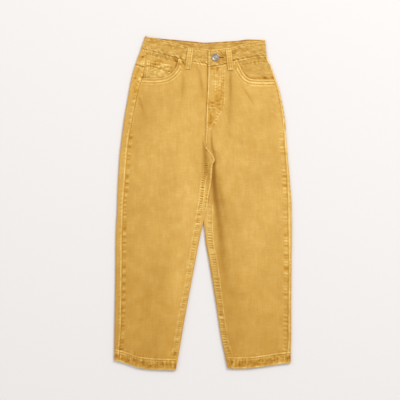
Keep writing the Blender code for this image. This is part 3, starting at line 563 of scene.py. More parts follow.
@dataclass
class Seam:
    """A line that shapes the cloth beside it.

    rows: (offset, half width, height, shade) of a ridge or groove along it.
    puckers: (offset, half width, spacing, height, shade, slant) of short wrinkles across it.
    mottle: (offset, half width, shade) of cloth whose dye is uneven in small spots.
    A shade above 0 is paler and one below 0 is deeper. An offset is to the line's left, times flip.
    fade is the length over which it starts and ends, and drift is how unevenly its puckers follow.
    """

    path: np.ndarray
    rows: tuple
    seed: int
    puckers: tuple = ()
    mottle: tuple = ()
    fade: float = 4.0
    flip: int = 1
    reach: float = 24.0
    drift: float = 0.85

    def relief(self, x, y):
        """Height, shade and tone at any places."""
        height, shade = np.zeros(np.shape(x)), np.zeros(np.shape(x))
        low, high = self.path.min(axis=0) - self.reach, self.path.max(axis=0) + self.reach
        near = (x > low[0]) & (x < high[0]) & (y > low[1]) & (y < high[1])
        if not near.any():
            return height, shade, 0.0
        offset, along, length = near_path(self.path, x[near], y[near])
        offset = offset * self.flip
        inside = ease(along / self.fade) * ease((length - along) / self.fade)
        h, s = np.zeros(offset.shape), np.zeros(offset.shape)
        wander = 0.3 * noise(along, 0 * along, 17.0, self.seed)
        for place, half, rise, tone in self.rows:
            bump = np.exp(-(((offset - place - wander) / half) ** 2))
            breaking = 0.85 + 0.45 * noise(along, 0 * along, 9.0, self.seed + place)
            h += rise * bump
            s += tone * bump * breaking
        for place, half, spacing, rise, tone, slant in self.puckers:
            run = along + slant * (offset - place)
            phase = self.drift * noise(run, 0 * run, spacing * 2.3, self.seed + 5)
            ripple = np.sin(2 * math.pi * (run / spacing + phase))
            strength = 0.65 + 0.6 * noise(along, offset * 0.4, spacing * 1.9, self.seed + 7)
            bump = np.exp(-(((offset - place) / half) ** 4)) * np.clip(strength, 0.1, 1.2)
            h += rise * ripple * bump
            s += tone * ripple * bump
        for place, half, tone in self.mottle:
            spots = noise(x[near], y[near], 4.4, self.seed + 9)
            spots = spots + 0.6 * noise(x[near], y[near], 2.3, self.seed + 11)
            bump = np.exp(-(((offset - place) / half) ** 4))
            h += 0.25 * tone * spots * bump
            s += tone * spots * bump
        height[near] = h * inside
        shade[near] = s * inside
        return height, shade, 0.0


# Rows and puckers of the seams, as Seam says
OUTSEAM_ROWS = {
    "right": ((-3.7, 1.3, 0.4, 0.85), (-1.3, 0.9, -0.1, -0.35), (0, 0.9, -0.3, -0.35), (4.4, 3.8, 0.05, -0.2)),
    "left": ((-3.7, 1.3, 0.4, 0.85), (-1.3, 0.9, -0.1, -0.35), (0, 0.9, -0.3, -0.35), (-8, 2, 0.05, 0.25)),
}
OUTSEAM_PUCKERS = {
    "right": ((3.9, 4.4, 18, 0.35, 0.5, 0.1), (3.4, 3.6, 9.2, 0.22, 0.4, 0.1), (-6.5, 3, 9, 0.12, 0.25, 0.2)),
    "left": ((4.8, 5.6, 24, 0.3, 0.3, 0.1), (4.6, 5.4, 9.2, 0.26, 0.42, 0.1), (-6, 2.4, 11, 0.08, 0.2, 0.2)),
}
UPPER_OUTSEAM_ROWS = {
    "right": ((0, 0.9, -0.4, -0.6), (-2.4, 1.1, 0.2, 0.35), (2.2, 1.2, 0.15, 0.2)),
    "left": ((-2.3, 1.2, 0.3, 0.75), (0, 0.8, -0.3, -0.4), (-5.6, 1.5, -0.1, -0.45)),
}
UPPER_OUTSEAM_PUCKERS = {
    "right": ((-5.6, 3.6, 5.3, 0.35, 0.65, 0.4), (-5, 4, 15, 0.2, 0.4, 0)),
    "left": ((-5.4, 2.2, 14, 0.2, 0.5, 0), (3.5, 3, 11, 0.12, 0.2, 0.4)),
}
INSEAM_ROWS = {
    "right": ((-3.6, 1.3, 0.2, 0.4), (1.8, 4.2, 0.22, 0.1), (7.4, 1.3, 0.15, 0.3)),
    "left": ((-4.6, 1.4, 0.3, 0.6), (-1.8, 1, -0.15, -0.3), (2.4, 4.6, 0.15, 0.1), (7.8, 2, 0.15, 0.4)),
}
INSEAM_PUCKERS = {
    "right": ((1.8, 4.6, 5.1, 0.28, 0.65, 0), (1, 7.5, 17, 0.18, 0.25, 0.4)),
    "left": ((2.4, 5.2, 6.6, 0.34, 0.8, 0.2), (1, 7, 19, 0.15, 0.22, 0.3)),
}
CROTCH_ROWS_SEWN = (
    (5.2, 1.1, 0.25, 0.75), (2.8, 1, -0.1, -0.2), (0.2, 3.4, 0.1, -0.25), (-4.4, 1.3, 0.15, 0.45),
)
CROTCH_PUCKERS = ((0.4, 4.4, 5.1, 0.42, 1.3, 0),)
HEM_ROWS = (
    (2.6, 1.6, -0.15, -0.3), (0, 1.3, 0.15, 1), (-2.7, 1.1, -0.35, -0.75), (-5.1, 1.1, 0.15, 0.6),
    (-13, 7.5, 0, -0.5), (-22.6, 1.6, 0.25, 0.9),
)
HEM_PUCKERS = ((-12, 9.5, 7.2, 0.36, 0.5, 0.12), (-12, 8, 19, 0.14, 0.16, 0.1), (4.5, 4, 10, 0.2, 0.3, 0))
MOUTH_ROWS = {
    "right": (
        (0.8, 1, 0.35, 0.7), (3.6, 1.1, -0.25, -0.55), (7.4, 1.4, 0.3, 0.95), (10.7, 1, -0.35, -0.7),
        (13.2, 1.2, 0.15, 0.55), (16.5, 2, -0.1, -0.15),
    ),
    "left": (
        (1.6, 1, 0.35, 0.75), (4.8, 1.2, -0.25, -0.6), (8, 1.4, 0.3, 0.95), (11.2, 1, -0.35, -0.75),
        (14.6, 1.3, 0.15, 0.6), (18, 2, -0.1, -0.15),
    ),
}
MOUTH_PUCKERS = ((7.6, 1.6, 6, 0.1, 0.25, 0), (13.8, 2.6, 9, 0.12, 0.2, 0.3))
MOUTH_SHADOW = ((-1.2, 1.3, -0.1, -0.7), (-4, 2, 0, -0.15))
BAND_SEAM_ROWS = (
    (3.6, 1.2, -0.1, 0.2), (0.6, 1.4, -0.3, -0.75), (-2.6, 1.3, 0.25, 0.65), (-5.4, 1.2, -0.1, -0.3),
)
BAND_SEAM_PUCKERS = ((2.2, 3.6, 11, 0.3, 0.6, 1.2), (-4, 3.6, 8, 0.26, 0.45, 0.8))
BAND_TOP_ROWS = (
    (-0.8, 1.1, 0.1, 0.7), (-3.4, 1.2, -0.15, -0.55), (-5.8, 1, 0.1, 0.5), (-8.6, 1.5, -0.05, -0.35),
)
BAND_TOP_PUCKERS = ((-4.8, 3.4, 9.5, 0.2, 0.4, 1),)
BAND_BACK_ROWS = ((-0.8, 1.6, 0, -1.35), (-4.4, 1.3, 0.1, 0.45), (-7.2, 1.4, -0.05, -0.35))
FLY_EDGE_ROWS = ((1.6, 1.2, 0.35, 0.8), (4.2, 1.2, -0.1, -0.2), (0, 0.5, -0.3, -0.3))
# Painted shadow: a dark groove on the right front beside the fly's edge, the shade under the overlap.
FLY_SIDE_SHADOW_ROWS = ((-0.6, 1, -0.5, -0.9), (-3.6, 1.6, -0.1, -0.15))
STITCH_ROWS = ((0, 1, -0.25, -0.5), (2.3, 1.1, 0.2, 0.5), (-2.3, 1.1, 0.15, 0.4))
FLY_COLUMN_ROWS = ((0, 1.1, 0.15, 0.75), (2.6, 1.1, -0.15, -0.3), (-2.6, 1.1, -0.15, -0.3))
STITCH_PUCKERS = ((0, 3.4, 7, 0.25, 0.45, 0),)
# Painted shade: the middle row is a very dark slit, the shadow under the yoke's wrapped fold.
YOKE_WRAP_ROWS = ((0, 1.2, -0.6, -2.4), (2.8, 1.2, 0.3, 0.6), (-2.8, 1.2, 0.2, 0.5))
HIP_LINE_ROWS = ((0, 1.1, -0.4, -1.1), (-2.6, 1.2, 0.2, 0.4))
POCKET_TACK_ROWS = ((0, 1.6, 0.4, 0.8), (3, 1, -0.2, -0.6), (-3.4, 1, -0.2, -0.6))
FLY_TACK_ROWS = ((0, 1.3, 0.45, 0.95), (-3, 1.2, -0.3, -0.8), (3.4, 1.5, -0.2, -0.4))
OVERLAP_ROWS = ((-2, 1.3, 0.2, 0.7), (-5, 1.2, -0.2, -0.4))
LAP_ROWS = ((-2.2, 1.5, 0.2, 0.5), (-5, 1.4, -0.2, -0.5), (-8, 1.2, 0.1, 0.2))

J_PATH = smooth_path(
    (
        (46.6, 312), (46.4, 262), (46, 234), (43.2, 219), (36.5, 209), (30.5, 198), (27.5, 184), (17.5, 174),
        (9.5, 170.5),
    ),
)
FLY_COLUMNS = (smooth_path(((28.8, 311), (28.4, 252))), smooth_path(((39.2, 312), (39, 246))))
FLY_TACK = smooth_path(((11.5, 218.2), (29, 218.6)))
YOKE_WRAP = smooth_path(on_sheet((145.5, 67.8), (141.8, 66.4), (138, 65.5), (134.5, 64.4)))
HIP_LINE = smooth_path(on_sheet((147.5, 78.3), (141, 78.3), (132, 78.1)))
POCKET_TACK = smooth_path(on_sheet((144.4, 82.3), (139.6, 82.2)))
CROTCH_STITCHES = smooth_path(
    on_sheet((206.6, 160), (205.9, 168), (205.2, 175), (203, 181), (202.2, 189), (201.4, 198), (199.8, 207)),
)
OVERLAP_EDGE = smooth_path(((12, 312.5), (12, 351.5)))


def fly_edge(y):
    foot = mix(CENTRE, FLY_FOOT_X, ease((y - RISE_Y) / RISE_LENGTH))
    return foot + FLY_SLANT * ease((y - FLY_END_Y) / FLY_LENGTH)


def fly_path(top, bottom):
    y = np.arange(top, bottom, -5.0)
    return np.column_stack([fly_edge(y), y])


def leg_seams(leg, seed):
    """The seams that run down a leg and round its hem."""
    name, flip = leg.side_name, leg.toward
    upper, lower = leg_line(leg, "outseam", 350, 158), leg_line(leg, "outseam", 176, -359)
    inseam = leg_line(leg, "inseam", 4, -359)
    hem = hem_line(leg, HEM_DEPTH + 2.5, 1.0)
    upper_puckers = UPPER_OUTSEAM_PUCKERS[name]
    return [
        Seam(upper, UPPER_OUTSEAM_ROWS[name], seed, upper_puckers, ((-5, 4.5, 0.3),), 14.0, flip),
        Seam(lower, OUTSEAM_ROWS[name], seed + 1, OUTSEAM_PUCKERS[name], ((2, 5, 0.18),), 14.0, flip),
        Seam(inseam, INSEAM_ROWS[name], seed + 2, INSEAM_PUCKERS[name], ((2, 5.5, 0.25),), 10.0, flip),
        Seam(hem, HEM_ROWS, seed + 3, HEM_PUCKERS, ((-12, 11, 0.6),), 0.5, flip, 30.0, 1.5),
    ]


def mouth_seams(leg, path, seed):
    """The seam of a pocket mouth, and its shadow on the cloth inside it."""
    rows, flip = MOUTH_ROWS[leg.side_name], -leg.toward
    return (
        [Seam(path, rows, seed, MOUTH_PUCKERS, ((9, 8, 0.12),), 1.0, flip)],
        [Seam(path, MOUTH_SHADOW, seed + 2, fade=1.0, flip=flip)],
    )


RIGHT_SEAMS = leg_seams(RIGHT, 11)
LEFT_SEAMS = leg_seams(LEFT, 21)
RIGHT_SEAMS.append(Seam(CROTCH_STITCHES, CROTCH_ROWS_SEWN, 55, CROTCH_PUCKERS, ((1, 5, 0.25),), 8.0, drift=0.35))
LEG_SEAMS = {"right": RIGHT_SEAMS, "left": LEFT_SEAMS}
RIGHT_MOUTH_SEAMS, RIGHT_MOUTH_SHADOW = mouth_seams(RIGHT, smooth_path(((-141.0, 287.2), *RIGHT_MOUTH)), 51)
LEFT_MOUTH_SEAMS, LEFT_MOUTH_SHADOW = mouth_seams(LEFT, smooth_path(((164.0, 284.2), *LEFT_MOUTH)), 52)
MOUTH_SEAMS = {"right": RIGHT_MOUTH_SEAMS, "left": LEFT_MOUTH_SEAMS}
MOUTH_SHADOWS = {"right": RIGHT_MOUTH_SHADOW, "left": LEFT_MOUTH_SHADOW}
BAND_SEAMS = [
    Seam(band_line(table, "bottom", start, end), BAND_SEAM_ROWS, seed, BAND_SEAM_PUCKERS, ((0, 6, 0.28),), 1.0)
    for table, start, end, seed in ((BAND_RIGHT, -142, 12, 31), (BAND_LEFT, 12, 150, 32))
]
BAND_TOPS = [
    Seam(band_line(table, "top", start, end), BAND_TOP_ROWS, seed, BAND_TOP_PUCKERS)
    for table, start, end, seed in ((BAND_RIGHT, -134, 12, 33), (BAND_LEFT, 12, 143, 34))
]
BAND_BACK_TOP = [Seam(band_line(BAND_BACK, "top", -138, 142), BAND_BACK_ROWS, 35, BAND_TOP_PUCKERS)]
BAND_END = [Seam(OVERLAP_EDGE, OVERLAP_ROWS, 36, STITCH_PUCKERS, fade=1.0)]
FLY_SEAMS = [
    Seam(fly_path(316, 134), FLY_EDGE_ROWS, 41, ((2, 2.4, 8, 0.12, 0.2, 0),)),
    Seam(J_PATH, STITCH_ROWS, 42, STITCH_PUCKERS, ((0, 5, 0.25),)),
    Seam(FLY_COLUMNS[0], FLY_COLUMN_ROWS, 43, STITCH_PUCKERS, ((0, 8, 0.25),), 6.0),
    Seam(FLY_COLUMNS[1], FLY_COLUMN_ROWS, 44, STITCH_PUCKERS, ((0, 8, 0.22),), 6.0),
    Seam(FLY_TACK, FLY_TACK_ROWS, 49, fade=1.0),
]
# The painted shadow that the fly's overlap casts on the right front.
UNDER_FLY_SEAMS = [Seam(fly_path(322, 134), FLY_SIDE_SHADOW_ROWS, 45)]
LAP_SEAMS = [Seam(leg_line(RIGHT, "inner", 132, -24), LAP_ROWS, 46, ((-4, 4, 7.5, 0.22, 0.4, 0),))]
WRAP_SEAMS = [
    Seam(YOKE_WRAP, YOKE_WRAP_ROWS, 47, STITCH_PUCKERS, fade=1.0),
    Seam(HIP_LINE, HIP_LINE_ROWS, 48, STITCH_PUCKERS),
    Seam(POCKET_TACK, POCKET_TACK_ROWS, 50, fade=1.0),
]
# Creases of the left leg. Their tone is painted shade in their troughs: the first is the deep painted shadow
# beside the right leg's lap, far darker than its depth would make it.
LEFT_CREASES = [
    traced(
        (214, 160, 3, 0, 0.8), (213.9, 166, 4.2, 0.2, 1.65), (213.9, 172, 5, 0.3, 1.9),
        (214, 181, 5.6, 0.5, 1.9), (214.8, 190, 6.4, 0.6, 1.65), (215.6, 199, 6, 0.6, 1.4),
        (217.2, 210, 6.5, 0.7, 1.1), (219.4, 226, 7, 0.6, 0.8), (221, 246, 8, 0.5, 0.6),
        (223, 264, 10, 0.4, 0.45), (228, 290, 12, 0, 0),
    ),
    traced(
        (217.4, 170, 5, 0, 0.25), (218.4, 180, 6, 0.2, 0.4), (219.6, 190, 6, 0.4, 0.5), (222, 199, 7, 0.3, 0.6),
        (224.4, 210, 8, 0.2, 0.45), (226, 226, 9, 0, 0.15),
    ),
    traced(
        (211.4, 132, 1.8, 0.2, 0.3), (211.5, 140, 2.2, 0.4, 0.8), (212, 147, 3, 0.6, 1.1),
        (213.4, 152, 3.4, 0.4, 1), (215.4, 158, 3, 0.3, 0.9), (215, 164, 4, 0.3, 0.6),
    ),
    traced(
        (230.3, 68, 4, 0, 0.1), (230.4, 76, 3, 0.3, 0.8), (230.4, 90, 3.2, 0.4, 0.8),
        (230, 104, 4.4, 0.3, 0.35), (229.6, 122, 5, 0.2, 0.2), (229, 134, 5, 0, 0),
    ),
    traced((240, 84, 2.5, 0, 0), (247, 93.5, 2.4, 0.4, 0.5), (252, 102, 2.4, 0.4, 0.45), (256, 107, 3, 0, 0)),
    traced((271.5, 109.3, 2, 0, 0.1), (275, 110.8, 2.4, 0.3, 0.35), (279, 113, 2.4, 0, 0)),
    traced((272, 114.5, 2, 0, 0.1), (275, 117.2, 2.4, 0.2, 0.25), (278, 119, 2.4, 0, 0)),
    traced((226, 130, 5, 0, 0), (229, 135, 5, 0.3, 0.3), (232, 140, 5, 0, 0)),
    traced((236, 137, 6, 0, 0), (241, 143, 6, 0.3, 0.25), (247, 147, 6, 0, 0)),
]
# Creases of the right leg; their tone is painted shade in their troughs beside the crotch, the fly and down the
# hip.
RIGHT_CREASES = [
    traced(
        (208.8, 159, 1.5, 0, 0.2), (208.7, 165, 2.4, 0.3, 0.9), (208.3, 171, 2.8, 0.3, 0.9),
        (207.9, 178, 2.8, 0.2, 0.7), (207, 188, 2.4, 0, 0.2),
    ),
    traced(
        (203.2, 142, 1.8, 0, 0.5), (204, 148, 3.4, 0.3, 1), (205.2, 157, 5, 0.4, 1.05), (205, 165, 5, 0.4, 0.9),
        (204.6, 172, 4.8, 0.3, 0.6), (203.4, 182, 4, 0, 0.2),
    ),
    traced(
        (192, 66, 2.5, 0, 0), (196.4, 67.4, 2.6, 0.3, 0.35), (199.6, 72, 2.8, 0.4, 0.45),
        (200.9, 80, 3.4, 0.4, 0.5), (202.2, 88, 4.2, 0.4, 0.45), (203, 95, 4.5, 0.1, 0.25),
        (203.4, 102, 4, 0, 0),
    ),
    traced(
        (182.8, 72, 2.6, 0, 0), (183.2, 78, 2.8, 0.3, 0.35), (182.8, 88, 3.4, 0.3, 0.35),
        (182.4, 104, 5, 0.2, 0.15), (182, 118, 6, 0, 0),
    ),
    traced(
        (137.8, 96, 2, 0, 0.2), (139.6, 99, 2.4, 0.4, 0.5), (141.6, 103, 2.6, 0.4, 0.45),
        (143, 110, 4, 0.3, 0.3), (144.4, 120, 5, 0, 0),
    ),
    traced((138, 102, 2, 0, 0.1), (140.5, 105.5, 2.4, 0.3, 0.4), (143, 108.5, 2.6, 0, 0)),
]
# Creases on both legs; their tone is painted shade in their troughs, and the last is a ridge paled with painted
# light.
CREASES = [
    Crease((170, 235, 5, 0, 0), (160, 243, 5, 0.4, 0.2), (150, 252, 6, 0, 0)),
    Crease((50, -196, 14, 0, 0), (66, -208, 12, 0.8, 0.3), (92, -216, 14, 0.5, 0.2), (110, -226, 16, 0, 0)),
    Crease((-95, 150, 26, 0, 0), (-88, 70, 30, 0.5, 0.1), (-80, -40, 28, 0, 0)),
    Crease((-150, 60, 22, 0, 0), (-140, -60, 26, 0.5, 0.1), (-132, -200, 26, 0.4, 0.1), (-128, -300, 20, 0, 0)),
    Crease((120, 150, 24, 0, 0), (112, 40, 26, 0.5, 0.1), (118, -80, 26, 0, 0)),
    Crease((150, -60, 20, 0, 0), (142, -180, 24, 0.5, 0.1), (134, -300, 20, 0, 0)),
    Crease((-30, 120, 12, 0, 0), (-38, 20, 14, -0.4, -0.1), (-58, -120, 16, -0.4, -0.1), (-78, -240, 16, 0, 0)),
]


# Layers of noise: amount, scale of X and of Y, size of its features, seed
WAVES = ((0.30, 1, 1, 74.0, 1), (0.16, 1, 0.7, 31.0, 2), (0.06, 1, 1, 9.0, 3))
CLOUDS = ((0.14, 1, 0.6, 52.0, 4), (0.10, 1, 1, 19.0, 5), (0.06, 1.6, 0.3, 8.0, 6))


def layered(x, y, layers):
    return sum(amount * noise(x * across, y * along, size, seed) for amount, across, along, size, seed in layers)


def soft_relief(x, y):
    """Height, shade and tone of washed cloth: its slow unevenness, its creases and its deep patches, darker
    towards the hem. The tone holds painted shade in the troughs of the creases and folds, and painted light on a
    ridge.
    """
    height, tone = layered(x, y, WAVES), layered(x, y, CLOUDS)
    tone = tone - TONE_DROP_TOWARDS_HEM * (1 - ease((y - LOWEST_Y) / 560)) + HIP_LIGHTNESS * ease((y + 60) / 260)
    for crease in CREASES:
        h, _, t = crease.relief(x, y)
        height, tone = height + h, tone + t
    shade = -HEM_DEEPNESS * (1 - ease((y - LOWEST_Y) / 420))
    for px, py, half, tall, deep, bunching in PATCHES:
        inside = np.exp(-(((x - px) / half) ** 2) - ((y - py) / tall) ** 2)
        mottle = noise(x, y, 4.2, int(px) % 17 + 20)
        shade = shade - deep * inside * (0.75 + 1.1 * mottle)
        height = height + bunching * inside * mottle
    for px, py, half, tall, change in BROAD_TONES:
        across, along = (x - mm_x(px)) / (half * PIXEL), (y - mm_y(py)) / (tall * PIXEL)
        tone = tone + change * np.exp(-(across**2) - along**2)
    # painted shade in the folds, darker the deeper they are
    return height, shade, tone - FOLD_PAINTED_SHADE * folded_depth(x, y)


def streaks_across(x, y, seed):
    """Uneven dye in short streaks that run across the garment, where the cloth was gathered in the wash."""
    return 0.6 * noise(x, y * 2.8 + 0.2 * x, 8.5, seed) + 0.5 * noise(x, y * 2.0 - 0.1 * x, 4.6, seed + 1)


def relief(x, y, lines):
    """Height, shade (dye: deep below 0, worn pale above, with painted shade in the yoke's slit, beside the fly's
    edge and inside the pocket mouths) and tone (lightness, with painted shade in the creases and folds) at any
    places.
    """
    total = soft_relief(x, y)
    for line in lines:
        total = [whole + part for whole, part in zip(total, line.relief(x, y))]
    return total


# ---------------------------------------------------------------- back panels and yokes


def half_round(t):
    """Outward and upward share of a folded edge, from its top at t 0 to its bottom at t 1."""
    return np.sin(math.pi * t), (1 + np.cos(math.pi * t)) / 2


def underside(leg, x, y):
    if leg is LEFT:
        return 0.0 * x
    top = LEFT.at("inner", y) - LAP_CLEARANCE
    raised = LAP_UNDERSIDE * (1 - ease((LAP_END_Y - y) / LAP_FADE))
    return np.where(y > CROTCH_Y, 0.0, raised * ease((x - (top - CLIMB)) / CLIMB))


def side_fold(leg, t, y):
    side, outseam = leg.at("side", y), leg.at("outseam", y)
    reach = np.minimum(FOLD_REACH, SIDE_SHARE * np.abs(side - outseam))
    turn_x = side + leg.toward * reach
    out, up = half_round(t)
    return turn_x - leg.toward * reach * out, leg.face(turn_x, y) * up, up


def outer_lap(leg, t, y):
    turn_x = side_fold(leg, 0, y)[0]
    x = mix(leg.at("outseam", y) - leg.toward * GAP / 2, turn_x, t)
    return x, leg.face(x, y), 1.0 + 0 * x


def inner_turn(leg, y):
    inner = leg.at("inner", y)
    tall = leg.at("crest", y) - underside(leg, inner, y)
    reach = np.minimum(np.maximum(INNER_REACH, tall / 2), FOLD_REACH)
    closed = ease((y - CLOSED_Y[0]) / 12) * ease((CLOSED_Y[1] - y) / 14)
    reach = mix(reach, CLOSED_REACH, closed)
    return inner - leg.toward * reach, reach


def inner_fold(leg, t, y):
    turn_x, reach = inner_turn(leg, y)
    low = underside(leg, leg.at("inner", y), y)
    out, up = half_round(1 - t)
    return turn_x + leg.toward * reach * out, mix(low, leg.face(turn_x, y), up), up + 0 * y


def inner_lap(leg, t, y):
    x = mix(inner_turn(leg, y)[0], leg.past("inseam", y), t)
    return x, leg.face(x, y), 1.0 + 0 * x


def floor_stretch(leg, t, y):
    x = mix(side_fold(leg, 1, y)[0], ramp_start(leg, y), t)
    return x, 0 * x, 0 * x


def ramp_start(leg, y):
    above = CENTRE - leg.toward * (0.15 + CENTRE_STRETCH + CENTRE_SPREAD * (y - CROTCH_Y))
    if leg is LEFT:
        below = inner_turn(leg, y)[0] + INNER_STRETCH
    else:
        lowered = ease((LAP_END_Y - y) / LAP_FADE)
        turned = inner_turn(leg, y)[0] - INNER_STRETCH * lowered
        below = np.minimum(LEFT.at("inner", y) - LAP_CLEARANCE - CLIMB, turned)
    return np.where(y > CROTCH_Y, above, below)


def ramp(leg, t, y):
    start, end = ramp_start(leg, y), inner_turn(leg, y)[0]
    x = mix(start, end, t)
    if leg is RIGHT:
        climbed = np.minimum(LEFT.at("inner", y), end) - LAP_CLEARANCE
        level = mix(climbed, end, (t - CLIMB_SHARE) / (1 - CLIMB_SHARE))
        x = np.where(t <= CLIMB_SHARE, mix(start, climbed, t / CLIMB_SHARE), level)
    return x, underside(leg, x, y), 0 * x


ZONES = ((outer_lap, 15), (side_fold, 12), (floor_stretch, 8), (ramp, 8), (inner_fold, 10), (inner_lap, 18))
CENTRE_ZONES = (ramp, inner_fold, inner_lap)


def back_points(leg, row_levels):
    """Points of the back at the levels that row_levels(zone, t, centre share) gives for each column."""
    inner_count = sum(count for zone, count in ZONES if zone in CENTRE_ZONES)
    columns = [(outer_lap, 0.0, 0.0)]
    passed = 0
    for zone, count in ZONES:
        for k in range(1, count + 1):
            passed += zone in CENTRE_ZONES
            columns.append((zone, k / count, passed / inner_count))
    made = []
    for zone, t, centre_share in columns:
        y = row_levels(zone, t, centre_share)
        x, z, up = zone(leg, t, y)
        if zone in CENTRE_ZONES:
            seam = CENTRE - leg.toward * GAP / 2
            above = y > CROTCH_Y
            x = np.where(above, mix(ramp_start(leg, y), seam, centre_share), x)
            z = np.where(above, 0.0, z)
            up = np.where(above, 0.0, up)
        made.append(np.column_stack([x, y, z, up + 0 * y]))
    return np.stack(made, axis=1)


def across_back(leg, zone, t, centre_share, level):
    """X of a column of the back at a level above the crotch."""
    y = np.array([level])
    return mix(ramp_start(leg, y), CENTRE, centre_share) if zone in CENTRE_ZONES else zone(leg, t, y)[0]


def yoke_seam(leg, zone, t, centre_share):
    if zone is outer_lap:
        return mix(YOKE_AT_OUTSEAM, YOKE_AT_FOLD, YOKE_RISE * t)
    if zone is side_fold:
        risen = mix(YOKE_RISE, 1.0, math.sin(math.pi * t / 2))
        return mix(YOKE_AT_OUTSEAM, YOKE_AT_FOLD, risen)
    x = across_back(leg, zone, t, centre_share, YOKE_AT_FOLD)
    side = leg.at("side", YOKE_AT_FOLD)
    return float(mix(YOKE_AT_FOLD, YOKE_AT_CENTRE, (((x - side) / (CENTRE - side)) ** YOKE_BEND)[0]))


def yoke_top(leg, zone, t, centre_share):
    x = across_back(leg, zone, t, centre_share, BAND_ROW_Y)
    on_front = leg.band.read("bottom", x)[0] - GAP
    on_back = BAND_BACK.read("bottom", x)[0] - BACK_WAIST_GAP
    if zone is outer_lap:
        return on_front
    if zone is side_fold:
        return mix(on_front, on_back, t)
    return on_back


def down_rows(top, bottom, step):
    count = max(int(round((top - bottom) / step)), 1)
    return np.linspace(top, bottom, count + 1)


LEG_ROWS = np.concatenate([
    down_rows(TOP_ROW_Y, CROTCH_ROWS[0], ROW_STEP),
    down_rows(CROTCH_ROWS[1], LEG_END_Y, ROW_STEP),
])
HEM_ABOVE = down_rows(HEM_DEPTH + 5.0, 0.0, HEM_STEP)
TURNED_UP_ROWS = len(HEM_ABOVE) - 3


def leg_rows(rows, hem):
    """The rows of a leg, spread out in its lower part so that they end above its hem."""
    spread = ease((STRETCH_Y - rows) / (STRETCH_Y - LEG_END_Y)) * (rows < STRETCH_Y)
    return rows + (hem + HEM_DEPTH + HEM_CLEARANCE - LEG_END_Y) * spread


def hem_lift(above):
    """How much higher a hem row lies than the leg: turned up, and soft at its lower edge."""
    return HEM_RISE * ease((HEM_DEPTH + 3.5 - above) / 2) * (0.35 + 0.65 * ease(above / 2.5))


def back_panel(leg):
    def levels(zone, t, centre_share):
        seam = yoke_seam(leg, zone, t, centre_share) - GAP
        above = down_rows(seam, TOP_ROW_Y, (seam - TOP_ROW_Y) / 24)[:-1]
        x = zone(leg, t, np.array([HEM_ROW_Y]))[0]
        hem = leg.hem.read("y", x)[0]
        return np.concatenate([above, leg_rows(LEG_ROWS, hem), hem + HEM_ABOVE])

    grid = back_points(leg, levels)
    grid[-len(HEM_ABOVE):, :, 2] *= 1 + hem_lift(HEM_ABOVE)[:, None] / FACE
    return grid


def yoke(leg):
    def levels(zone, t, centre_share):
        top, seam = yoke_top(leg, zone, t, centre_share), yoke_seam(leg, zone, t, centre_share)
        return down_rows(top, seam, (top - seam) / 26)

    return back_points(leg, levels)


# ---------------------------------------------------------------- fronts


def facing_up(x, y, z):
    """A grid of points whose cloth lies with its outer face up everywhere."""
    return np.stack([x, y, z, np.ones(x.shape)], axis=2)


def centre_edge(leg, y):
    inseam = leg.at("inseam", y) - leg.toward * GAP / 2
    if leg is LEFT:
        upper = fly_edge(y) + GAP / 2
    else:
        upper = mix(fly_edge(y) - GAP / 2, UNDERLAP_X, ease((y - FLY_END_Y) / UNDERLAP_TAPER))
    return np.where(y < CROTCH_Y, inseam, upper)


def front_height(leg, x, y):
    height = leg.face(x, y)
    if leg is RIGHT:
        under = ease((x - fly_edge(y) + SINK_START) / SINK_SLOPE)
        return height - FLY_SINK * under * ease((y - RISE_Y) / SINK_HEIGHT)
    near = ease((LIFT_END_X - x) / LIFT_SLOPE)
    return height + FLY_LIFT * near * ease((y - LIFT_START_Y) / LIFT_HEIGHT)


def front_shares():
    """Shares of a front's width, crowded towards both of its seams."""
    middle = np.concatenate([np.linspace(0.09, 0.72, 35), np.linspace(0.72, 0.91, 17)[1:]])
    edge = 0.09 * np.linspace(0.0, 1.0, 17)[:-1] ** EDGE_CROWDING
    return np.concatenate([edge, middle, 1 - edge[::-1]])


def front_panel(leg):
    shares = front_shares()
    corner = (leg.past("outseam", leg.mouth[0][1]), leg.mouth[0][1])
    mouth = smooth_path((corner, *leg.mouth[1:]), 1.0)
    lengths = lengths_along(mouth)
    on_mouth = shares <= MOUTH_SHARE
    run = 2 * (1 - (1 - shares) ** (1 / MOUTH_CROWDING)) * lengths[-1]
    waist_x = mix(mouth[-1, 0], centre_edge(leg, WAIST_ROW_Y), (shares - MOUTH_SHARE) / (1 - MOUTH_SHARE))
    top_x = np.where(on_mouth, np.interp(run, lengths, mouth[:, 0]), waist_x)
    top_y = np.where(on_mouth, np.interp(run, lengths, mouth[:, 1]), leg.band.read("bottom", waist_x) - GAP)

    def place(share, y):
        return mix(leg.past("outseam", y), centre_edge(leg, y), share)

    start = leg.past("outseam", top_y)
    top_shares = (top_x - start) / (centre_edge(leg, top_y) - start)
    down = (np.linspace(0.0, 1.0, 70)[:-1] ** 1.25)[:, None]
    y = mix(top_y[None], TOP_ROW_Y, down)
    x = place(mix(top_shares[None], shares[None], down), y)
    hem = leg.hem.read("y", place(shares, HEM_ROW_Y))[None]
    low_y = np.concatenate([leg_rows(LEG_ROWS[:, None], hem), hem + HEM_ABOVE[:, None]])
    x = np.concatenate([x, place(shares[None], low_y)])
    y = np.concatenate([y, low_y])
    z = front_height(leg, x, y)
    z[-len(HEM_ABOVE):] += hem_lift(HEM_ABOVE)[:, None]
    return facing_up(x, y, z)


def facing_height(leg, x, y):
    below = WALL + LAYER_GAP
    if leg is RIGHT:
        below += FACING_WALL + LAYER_GAP
    return leg.face(x, y) - below


